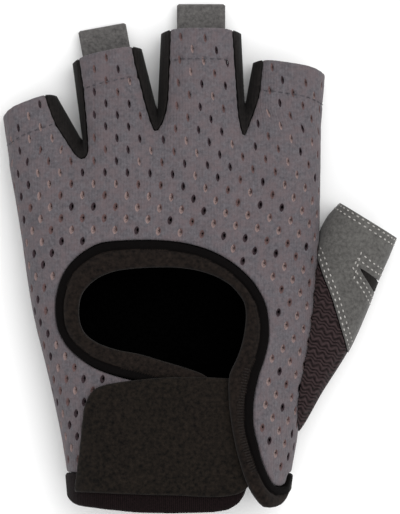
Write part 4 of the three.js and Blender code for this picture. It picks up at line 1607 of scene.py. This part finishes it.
@dataclass
class Stitches:
    """A row of short raised threads, all in one mesh."""

    length: float = 1.25
    radius: float = 0.24
    pitch: float = 1.95
    sides: int = 6
    rings: int = 4

    def row(self, places: Array, normals: Array, angle: float = 0.0) -> Cloth:
        """Lays stitches end to end along a line on a surface.

        Args:
            places: finely stepped points of the line.
            normals: the surface's normals there.
            angle: turn of each stitch out of the line, in degrees.

        Returns:
            The stitches.
        """
        run = run_along(places)
        at = np.arange(self.pitch / 2, run[-1], self.pitch)
        spots, ups = read_at(places, run, at), read_at(normals, run, at)
        along = read_at(places, run, at + 0.1) - read_at(places, run, at - 0.1)
        along /= np.maximum(np.linalg.norm(along, axis=1), 1e-9)[:, None]
        ups /= np.linalg.norm(ups, axis=1)[:, None]
        side = np.cross(ups, along)
        c, s = math.cos(math.radians(angle)), math.sin(math.radians(angle))
        along, side = along * c + side * s, side * c - along * s
        return self._threads(spots, along, side, ups)

    def _threads(self, spots: Array, along: Array, side: Array, ups: Array) -> Cloth:
        """One lens-shaped thread at each spot."""
        shape, faces = self._thread()
        x, y, z = shape.T
        points = (
            spots[:, None]
            + along[:, None] * x[None, :, None]
            + side[:, None] * y[None, :, None]
            + ups[:, None] * z[None, :, None]
        )
        count = len(shape)
        triangles = faces[None] + (np.arange(len(spots)) * count)[:, None, None]
        flat = np.tile(shape[:, :2], (len(spots), 1))
        every = triangles.reshape(-1, 3)
        return Cloth(points.reshape(-1, 3), every, np.zeros(len(every), int), flat)

    def _thread(self) -> tuple[Array, Array]:
        """One thread with pointed ends that dip into the cloth."""
        at = np.linspace(-1, 1, self.rings + 2)
        size = self.radius * np.clip(1 - at**2, 0, 1) ** 0.4
        turn = np.arange(self.sides) / self.sides * 2 * math.pi
        rings = [
            np.column_stack([
                np.full(self.sides, t * self.length / 2),
                r * np.cos(turn),
                r * np.sin(turn) * 0.8 - self.radius * 0.9 * t * t,
            ])
            for t, r in zip(at[1:-1], size[1:-1])
        ]
        tips = [[t * self.length / 2, 0, -self.radius] for t in (-1, 1)]
        points = np.vstack([*rings, tips])
        ids = np.arange(self.sides * self.rings).reshape(self.rings, self.sides)
        ids = np.hstack([ids, ids[:, :1]])
        faces = [*grid_triangles(ids)]
        first, last = len(points) - 2, len(points) - 1
        for k in range(self.sides):
            faces.append((first, ids[0, k + 1], ids[0, k]))
            faces.append((last, ids[-1, k], ids[-1, k + 1]))
        return points, np.array(faces)


@dataclass
class Thumb:
    """The thumb's suede sleeve, its ribbed gusset, the slot and the stitching."""

    # Height, way across the hand and length of the waves that bend the ribs and break them up.
    RIB_WAVES: ClassVar[tuple[tuple[float, ...], ...]] = (
        (0.45, 1, -0.4, 3.4), (0.3, 0.7, 1.3, 5.3),
    )
    RIB_BREAKS: ClassVar[tuple[float, ...]] = (0.45, 0.9, -0.5, 2.1)

    hand: HandPieces
    form: ThumbForm = field(default_factory=ThumbForm)
    slot_at: float = 0.84
    slot_breadth: float = 3.7
    slot_height: float = 19.2
    slot_slant: float = -12.0
    slot_overlap: float = 2.5
    slot_bulge: float = 1.9
    bulge_inset: float = 0.15
    bulge_power: int = 10  # the higher, the steeper the bulge's edge
    rib_pitch: float = 1.5
    rib_height: float = 0.38
    rib_lean: float = 0.55
    rib_sink: float = 0.1
    rib_raised_on: tuple[float, float] = (0.05, 0.45)  # as the thumb turns face up
    rows_beside: tuple[float, float] = (0.75, 2.1)
    rows_round_slot: tuple[float, float] = (1.6, 3.4)
    sleeve_length: float = 66.0
    least_clear: float = 0.5
    above: float = 80.0
    # Steps along the thumb and round it, for each use of its form.
    coarse: tuple[int, int] = (60, 80)
    sleeve_steps: tuple[int, int] = (90, 130)
    gusset_steps: tuple[int, int] = (170, 230)
    vent_steps: tuple[int, int] = (220, 200)
    stitch_steps: tuple[int, int] = (200, 160)

    def cut_hollow(self, *pieces: bpy.types.Object) -> None:
        """Opens the space inside the thumb in other pieces."""
        points, normals, triangles = self.form.grid(*self.coarse)
        hollow = filled(points - normals * CLOTH.thumb, triangles)
        for piece in pieces:
            cut_piece(piece, hollow.make("hollow"), "DIFFERENCE")

    def _cut_hand(self, piece: bpy.types.Object) -> None:
        """Cuts the hand, a seam's gap larger, out of a piece."""
        skin = self.hand.skin
        body = filled(skin.points + skin.normals * HAND.seam_gap, skin.triangles)
        cut_piece(piece, body.make("body"), "DIFFERENCE")

    def _slot_frame(self) -> tuple[Array, Array, Array]:
        """Middle of the slot, the way out through the thumb, and the way across the slot."""
        centre, across, _, _ = (v[0] for v in self.form.sections(np.array([self.slot_at])))
        way = math.atan2(across[1], across[0]) + math.radians(self.slot_slant)
        out = np.array([math.cos(way), math.sin(way), 0])
        return centre, out, np.array([-out[1], out[0], 0])

    def _lens(self, spread: float, turn: Array) -> Array:
        """A lens standing on end inside the thumb, as wide as the slot and a spread more."""
        centre, _, side = self._slot_frame()
        a, b = self.slot_breadth / 2 + spread, self.slot_height / 2 + spread
        return centre + np.outer(np.cos(turn) * a, side) + np.outer(np.sin(turn) * b, [0, 0, 1])

    def _slot(self, spread: float) -> bpy.types.Object:
        """The lens, driven out through the outer side of the thumb."""
        near = self._lens(spread, np.linspace(0, 2 * math.pi, 40, endpoint=False))
        return prism(near, near + self._slot_frame()[1] * HAND.width / 3)

    def slot_ring(self, spread: float) -> tuple[Array, Array]:
        """A line on the thumb round the slot, and the normals there."""
        out = self._slot_frame()[1]
        rays = self._lens(spread, np.linspace(0, 2 * math.pi, 160))
        return self._cast(rays + out * PAST_HAND, -out)

    def _cast(self, starts: Array, way: Array) -> tuple[Array, Array]:
        """Where rays meet the thumb, and the normals there. Rays that miss are left out."""
        points, _, triangles = self.form.grid(*self.coarse)
        tree = BVHTree.FromPolygons(points.tolist(), triangles.tolist())
        found, ups = [], []
        for start in starts:
            place, normal, *_ = tree.ray_cast(tuple(start), tuple(way))
            if place is not None:
                found.append(tuple(place))
                ups.append(tuple(normal))
        return np.array(found), np.array(ups)

    def build_sleeve(self) -> bpy.types.Object:
        """The suede sleeve with its slot."""
        points, normals, triangles = self.form.grid(*self.sleeve_steps)
        cloth = Cloth.wall(points, points - normals * CLOTH.thumb, triangles, points[:, :2])
        piece = cloth.make("thumb_suede", SUEDE, BLACK_BACKING)
        self._cut_hand(piece)
        seam = smooth_line(plan(GUSSET_SEAM), 1.0)
        cut_piece(piece, block(seam, GUSSET_HEIGHT * HAND.depth, PAST_HAND), "DIFFERENCE")
        cut_piece(piece, self._slot(0), "DIFFERENCE")
        return piece

    def _ribs(self, points: Array) -> tuple[Array, Array]:
        """Place across the gusset's broken, wavy ribs, and their height."""
        x, y, _ = points.T
        way = y + self.rib_lean * x
        for wave in self.RIB_WAVES:
            way += self._wave(x, y, *wave)
        ribs = self.rib_height * np.sin(2 * math.pi * way / self.rib_pitch)
        return way, ribs * (1 - self.RIB_BREAKS[0] + self._wave(x, y, *self.RIB_BREAKS))

    @staticmethod
    def _wave(x: Array, y: Array, height: float, by_x: float, by_y: float, length: float) -> Array:
        """An even wave that runs across the hand."""
        return height * np.sin(2 * math.pi * (by_x * x + by_y * y) / length)

    def build_gusset(self) -> bpy.types.Object:
        """The ribbed insert beside the thumb, its ribs raised."""
        points, normals, triangles = self.form.grid(*self.gusset_steps)
        way, ribs = self._ribs(points)
        ribs = ribs * smoothstep(normals[:, 2], *self.rib_raised_on)
        outer = points + normals * (ribs - self.rib_height - self.rib_sink)[:, None]
        # Flat places measured across the ribs, so that the finish's painted valley shade follows
        # the raised ribs.
        along_ribs = np.column_stack([way, points[:, 0]])
        cloth = Cloth.wall(outer, points - normals * CLOTH.gusset, triangles, along_ribs)
        piece = cloth.make("gusset_ribbed", RIBBED_STRETCH_PAINTED_VALLEY_SHADE, BLACK_BACKING)
        self._cut_hand(piece)
        seam = grown(smooth_line(plan(GUSSET_SEAM), 1.0), -HAND.seam_gap)
        low = GUSSET_HEIGHT * HAND.depth + HAND.seam_gap
        cut_piece(piece, block(seam, low, PAST_HAND), "INTERSECT")
        return piece

    def _bulge(self, points: Array) -> Array:
        """How far the stretch piece swells out into the slot."""
        centre, out, side = self._slot_frame()
        from_centre, power = points - centre, self.bulge_power
        across = from_centre @ side / (self.slot_breadth / 2 - self.bulge_inset)
        up = from_centre[:, 2] / (self.slot_height / 2 - self.bulge_inset)
        full = np.clip(1 - across**power - up**power, 0, 1) ** (1 / power)
        return np.where(from_centre @ out > 0, self.slot_bulge * full, 0)

    def build_vent(self) -> bpy.types.Object:
        """The stretch piece behind the slot."""
        points, normals, triangles = self.form.grid(*self.vent_steps)
        down = CLOTH.thumb + HAND.seam_gap - self._bulge(points)
        outer, inner = (points - normals * d[:, None] for d in (down, down + CLOTH.vent))
        cloth = Cloth.wall(outer, inner, triangles, points[:, :2], (0, 0, 0))
        piece = cloth.make("slot_stretch", BLACK_STRETCH)
        cut_piece(piece, self._slot(self.slot_overlap), "INTERSECT")
        return piece

    def build_stitching(self) -> bpy.types.Object:
        """Double rows along the gusset seam, the hem and round the slot."""
        lines = []
        seam = smooth_line(plan(GUSSET_SEAM[1:8]), 0.5)
        for distance in self.rows_beside:
            line = self._beside(seam, distance)
            starts = np.column_stack([line, np.full(len(line), self.above)])
            places, normals = self._cast(starts, np.array([0.0, 0.0, -1.0]))
            clear = self._clear_of_hand(places)
            lines.append((places[clear], normals[clear]))
        rows, steps = self.stitch_steps
        points, normals, _ = self.form.grid(rows, steps)
        for distance in self.rows_beside:
            row = round((1 - distance / self.sleeve_length) * rows)
            ring = slice(row * steps, (row + 1) * steps)
            lines.append((closed(points[ring]), closed(normals[ring])))
        lines += [self.slot_ring(distance) for distance in self.rows_round_slot]
        threads = Cloth.merged([Stitches().row(*line) for line in lines])
        return threads.make("thumb_topstitch", GREY_THREAD)

    @staticmethod
    def _beside(line: Array, distance: float) -> Array:
        """A line beside another, on the side of the thumb's hem."""
        way = np.gradient(line, axis=0)
        way /= np.linalg.norm(way, axis=1)[:, None]
        return line + np.column_stack([-way[:, 1], way[:, 0]]) * distance

    def _clear_of_hand(self, places: Array) -> Array:
        """Which places on the thumb lie outside the hand."""
        skin = self.hand.skin
        tree = BVHTree.FromPolygons(skin.points.tolist(), skin.triangles.tolist())
        clear = []
        for place in places:
            hit, *_ = tree.ray_cast((place[0], place[1], self.above), (0, 0, -1))
            clear.append(hit is None or hit[2] < place[2] - self.least_clear)
        return np.array(clear)


# ---------------------------------------------------------------- tabs and stitching


@dataclass
class PullTab:
    """A bare suede tab that reaches out of a finger's hem."""

    hand: HandPieces
    finger: int
    width: float = 15.0
    reach: float = 8.0
    seam: float = 6.0
    flatness: float = 0.85
    corner: float = 0.5
    edge_radius: float = 0.55
    columns: int = 25
    seam_rows: int = 9
    rows: int = 19
    hem_reads: tuple[float, float, int] = (0.02, 0.98, 60)

    def build(self, name: str) -> bpy.types.Object:
        """Shapes and dresses the tab."""
        skin = self.hand.skin
        share = np.linspace(*self.hem_reads)
        heading = skin.heading(self.finger)
        across = np.array([heading[1], -heading[0], 0])
        hem = FINGERS[self.finger]
        middle = np.append(plan([hem.left, hem.right]).mean(0), 0)
        root = np.append(plan(FINGER_ROOTS[self.finger : self.finger + 2]).mean(0), 0)
        length = np.linalg.norm(middle - root)
        places = np.linspace(-self.width / 2, self.width / 2, self.columns)
        hem_row = skin.finger_point(self.finger, share, 1, Face.PALM)
        lowest = hem_row[:, 2].min()
        rows, reaches = [], []
        for along in np.linspace(1 - self.seam / length, 1, self.seam_rows):
            row = skin.finger_point(self.finger, share, along, Face.PALM)
            rows.append(self._read(row, middle, across, places))
            reaches.append((along - 1) * length)
        end = HAND.hem_crown + self.reach - HAND.seam_gap
        ahead = (hem_row - middle) @ heading
        for reached in np.linspace(0, 1, self.rows)[1:]:
            row = hem_row.copy()
            row[:, 2] = lerp(row[:, 2], lowest, reached * self.flatness)
            row += heading * (reached * (end - ahead))[:, None]
            rows.append(self._read(row, middle, across, places))
            reaches.append(reached * end)
        grid = np.array(rows)
        self._round_corners(grid, heading, places)
        points = grid.reshape(-1, 3)
        triangles = grid_triangles(np.arange(len(points)).reshape(grid.shape[:2]))
        from_end = np.array(reaches[::-1]) - reaches[0]
        from_side = self.width / 2 - np.abs(places)
        edge = round_edge(np.minimum.outer(from_end, from_side), self.edge_radius).ravel()
        base = CLOTH.palm + HAND.seam_gap
        over = points + np.outer(base + CLOTH.tab - edge, (0, 0, 1))
        under = points + np.outer(base + edge, (0, 0, 1))
        flat = np.column_stack([np.tile(places, len(rows)), np.repeat(reaches, len(places))])
        return Cloth.wall(over, under, triangles, flat, (0, 0, 0)).make(name, TAB_SUEDE)

    @staticmethod
    def _read(row: Array, middle: Array, across: Array, places: Array) -> Array:
        """A row of points read at places across the tab."""
        at = (row - middle) @ across
        order = np.argsort(at)
        return np.column_stack([np.interp(places, at[order], column[order]) for column in row.T])

    def _round_corners(self, grid: Array, heading: Array, places: Array) -> None:
        """Pulls the two corners of the fold back into a round."""
        out = np.clip(np.abs(places) - (self.width / 2 - self.corner), 0, None)
        pull = self.corner - np.sqrt(np.maximum(self.corner**2 - out**2, 0))
        share = np.linspace(0, 1, len(grid)) ** 3
        grid -= heading * (share[:, None] * pull[None, :])[..., None]


@dataclass
class HandStitching:
    """Stitch lines on the fingers and the ribs along the slit."""

    hand: HandPieces
    clear_of_strips: float = 0.8
    overlock_from_edge: float = 4.1
    overlock_height: float = 0.42
    overlock_between: tuple[float, float] = (-0.44, -0.225)

    def build_hem_rows(self) -> bpy.types.Object:
        """The tone-on-tone hem stitches of the four fingers."""
        side = self.hand.back
        strips = [grown(strip, self.clear_of_strips) for strip in self.hand.strips]
        on_fingers = within(side.domain(HAND.seam_height + 1), strips)
        stitch = Stitches(length=1.5, radius=0.17, pitch=2.3)
        rows = [
            stitch.row(*side.on_hand(line[on_fingers(line)])) for line in self.hand.hem_lines()
        ]
        return Cloth.merged(rows).make("finger_hem_stitch", TONAL_THREAD)

    def build_overlock(self) -> bpy.types.Object:
        """The ribs of thread that close the tape along the slit."""
        hand = self.hand
        inner, outer = hand.tape
        width = np.linalg.norm(outer - inner, axis=1)[:, None]
        line = outer + (inner - outer) / width * self.overlock_from_edge
        points, normals = hand.back.on_hand(line)
        low, high = (share * HAND.length for share in self.overlock_between)
        x, y, _ = points.T
        kept = (y > low) & (y < high) & (x > hand.slit * HAND.width)
        points, normals = points[kept], normals[kept]
        places = hand.lifted(points) + normals * (CLOTH.tape_proud + self.overlock_height)
        stitch = Stitches(length=2.7, radius=0.3, pitch=0.87)
        return stitch.row(places, normals, 90).make("slit_overlock", BLACK_THREAD)


# ---------------------------------------------------------------- the studio


@dataclass
class Studio:
    """A pale floor, soft light and a camera straight above, at the photograph's angle."""

    frame_height: float = 0.15934
    distance: float = 3.0
    focus_height: float = 0.013
    sensor: float = 36.0
    world_light: float = 1.0
    soft_light: float = 16.0
    light_size: float = 1.4
    light_place: tuple[float, float, float] = (0.5, 0.3, 1.5)

    def build(self) -> None:
        """Makes the stage."""
        bpy.ops.mesh.primitive_plane_add(size=6)
        floor = bpy.context.object
        floor.name = "floor"
        floor.data.materials.append(self._floor_finish())
        self._camera()
        self._light()
        world = bpy.data.worlds.new("studio")
        world.use_nodes = True
        inputs = world.node_tree.nodes["Background"].inputs
        inputs["Color"].default_value = (1, 1, 1, 1)
        inputs["Strength"].default_value = self.world_light
        bpy.context.scene.world = world
        bpy.context.scene.view_settings.view_transform = "Standard"

    def _camera(self) -> None:
        """The camera, with the long lens that a catalogue picture is taken with."""
        data = bpy.data.cameras.new("camera")
        data.sensor_width = self.sensor
        data.lens = self.sensor * self.distance / self.frame_height
        data.clip_end = 100
        camera = linked("camera", data)
        camera.location = (0, 0, self.focus_height + self.distance)
        bpy.context.scene.camera = camera

    def _light(self) -> None:
        """A large square softbox that faces the glove."""
        data = bpy.data.lights.new("overhead_softbox", "AREA")
        data.size = self.light_size
        data.energy = self.soft_light
        light = linked("overhead_softbox", data)
        light.location = self.light_place
        light.rotation_euler = (-Vector(self.light_place)).to_track_quat("-Z", "Y").to_euler()

    @staticmethod
    def _floor_finish() -> bpy.types.Material:
        """Matt white card."""
        card = bpy.data.materials.new("card_matt_white")
        card.use_nodes = True
        shader = card.node_tree.nodes["Principled BSDF"]
        shader.inputs["Base Color"].default_value = linear("f6f6f6")
        shader.inputs["Roughness"].default_value = 0.9
        return card


@dataclass(frozen=True)
class Place:
    """How a piece belongs to the frame."""

    node: str | None
    slot: str
    flat: tuple[float, float] | None = None
    area: float | None = None
    held: str = "stretched"


PLACES = {
    "perforated_back": Place("back_panel", "perforated_knit", (118, 141), 10200),
    "suede_palm": Place("palm_panel", "suede", (111, 137), 10900),
    "binding_tape": Place("opening_tape", "black_tape", (10, 230)),
    "wrist_hem": Place("wrist_band", "black_tape", (145, 12), 1320),
    "closing_strap": Place("closure_strap", "strap_loop", (56, 37), 1960),
    "strip_little_ring": Place("side_strip_little_ring", "black_stretch", (14, 78), 900),
    "strip_ring_middle": Place("side_strip_ring_middle", "black_stretch", (14, 84), 1000),
    "strip_middle_index": Place("side_strip_middle_index", "black_stretch", (12, 80), 830),
    "thumb_suede": Place("thumb_sleeve", "suede", (68, 64), 2400),
    "gusset_ribbed": Place("thumb_gusset", "ribbed_stretch", (18, 54), 690),
    "slot_stretch": Place("thumb_vent", "black_stretch", (12, 28), 320),
    "tab_ring": Place("pull_tab_ring", "tab_suede", (15, 16)),
    "tab_middle": Place("pull_tab_middle", "tab_suede", (15, 16)),
    "thumb_topstitch": Place(None, "suede"),
    "finger_hem_stitch": Place(None, "perforated_knit"),
    "slit_overlock": Place(None, "black_tape"),
}


def belong(piece: bpy.types.Object) -> None:
    """Ties a piece to the frame and hides the frame part that it stands for."""
    place = PLACES[piece.name]
    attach(piece, "root")
    if place.node:
        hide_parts(place.node)
    LOG.info("%s: %d faces", piece.name, len(piece.data.polygons))


def main() -> None:
    """Builds the glove piece by piece, then the studio."""
    logging.basicConfig(level=logging.INFO, format="%(message)s")
    deselect()
    hand = HandPieces()
    thumb = Thumb(hand)
    stitching = HandStitching(hand)
    on_thumb = [BackPanel(hand).build(), PalmPanel(hand).build(), OpeningTape(hand).build()]
    thumb.cut_hollow(*on_thumb)
    pieces = [
        *on_thumb,
        Strap(hand).build(),
        WristBand(hand).build(),
        *SideStrips(hand).build(),
        thumb.build_sleeve(),
        thumb.build_gusset(),
        thumb.build_vent(),
        thumb.build_stitching(),
        PullTab(hand, 1).build("tab_ring"),
        PullTab(hand, 2).build("tab_middle"),
        stitching.build_hem_rows(),
        stitching.build_overlock(),
    ]
    for piece in pieces:
        belong(piece)
    Studio().build()


if __name__ == "__main__":
    main()
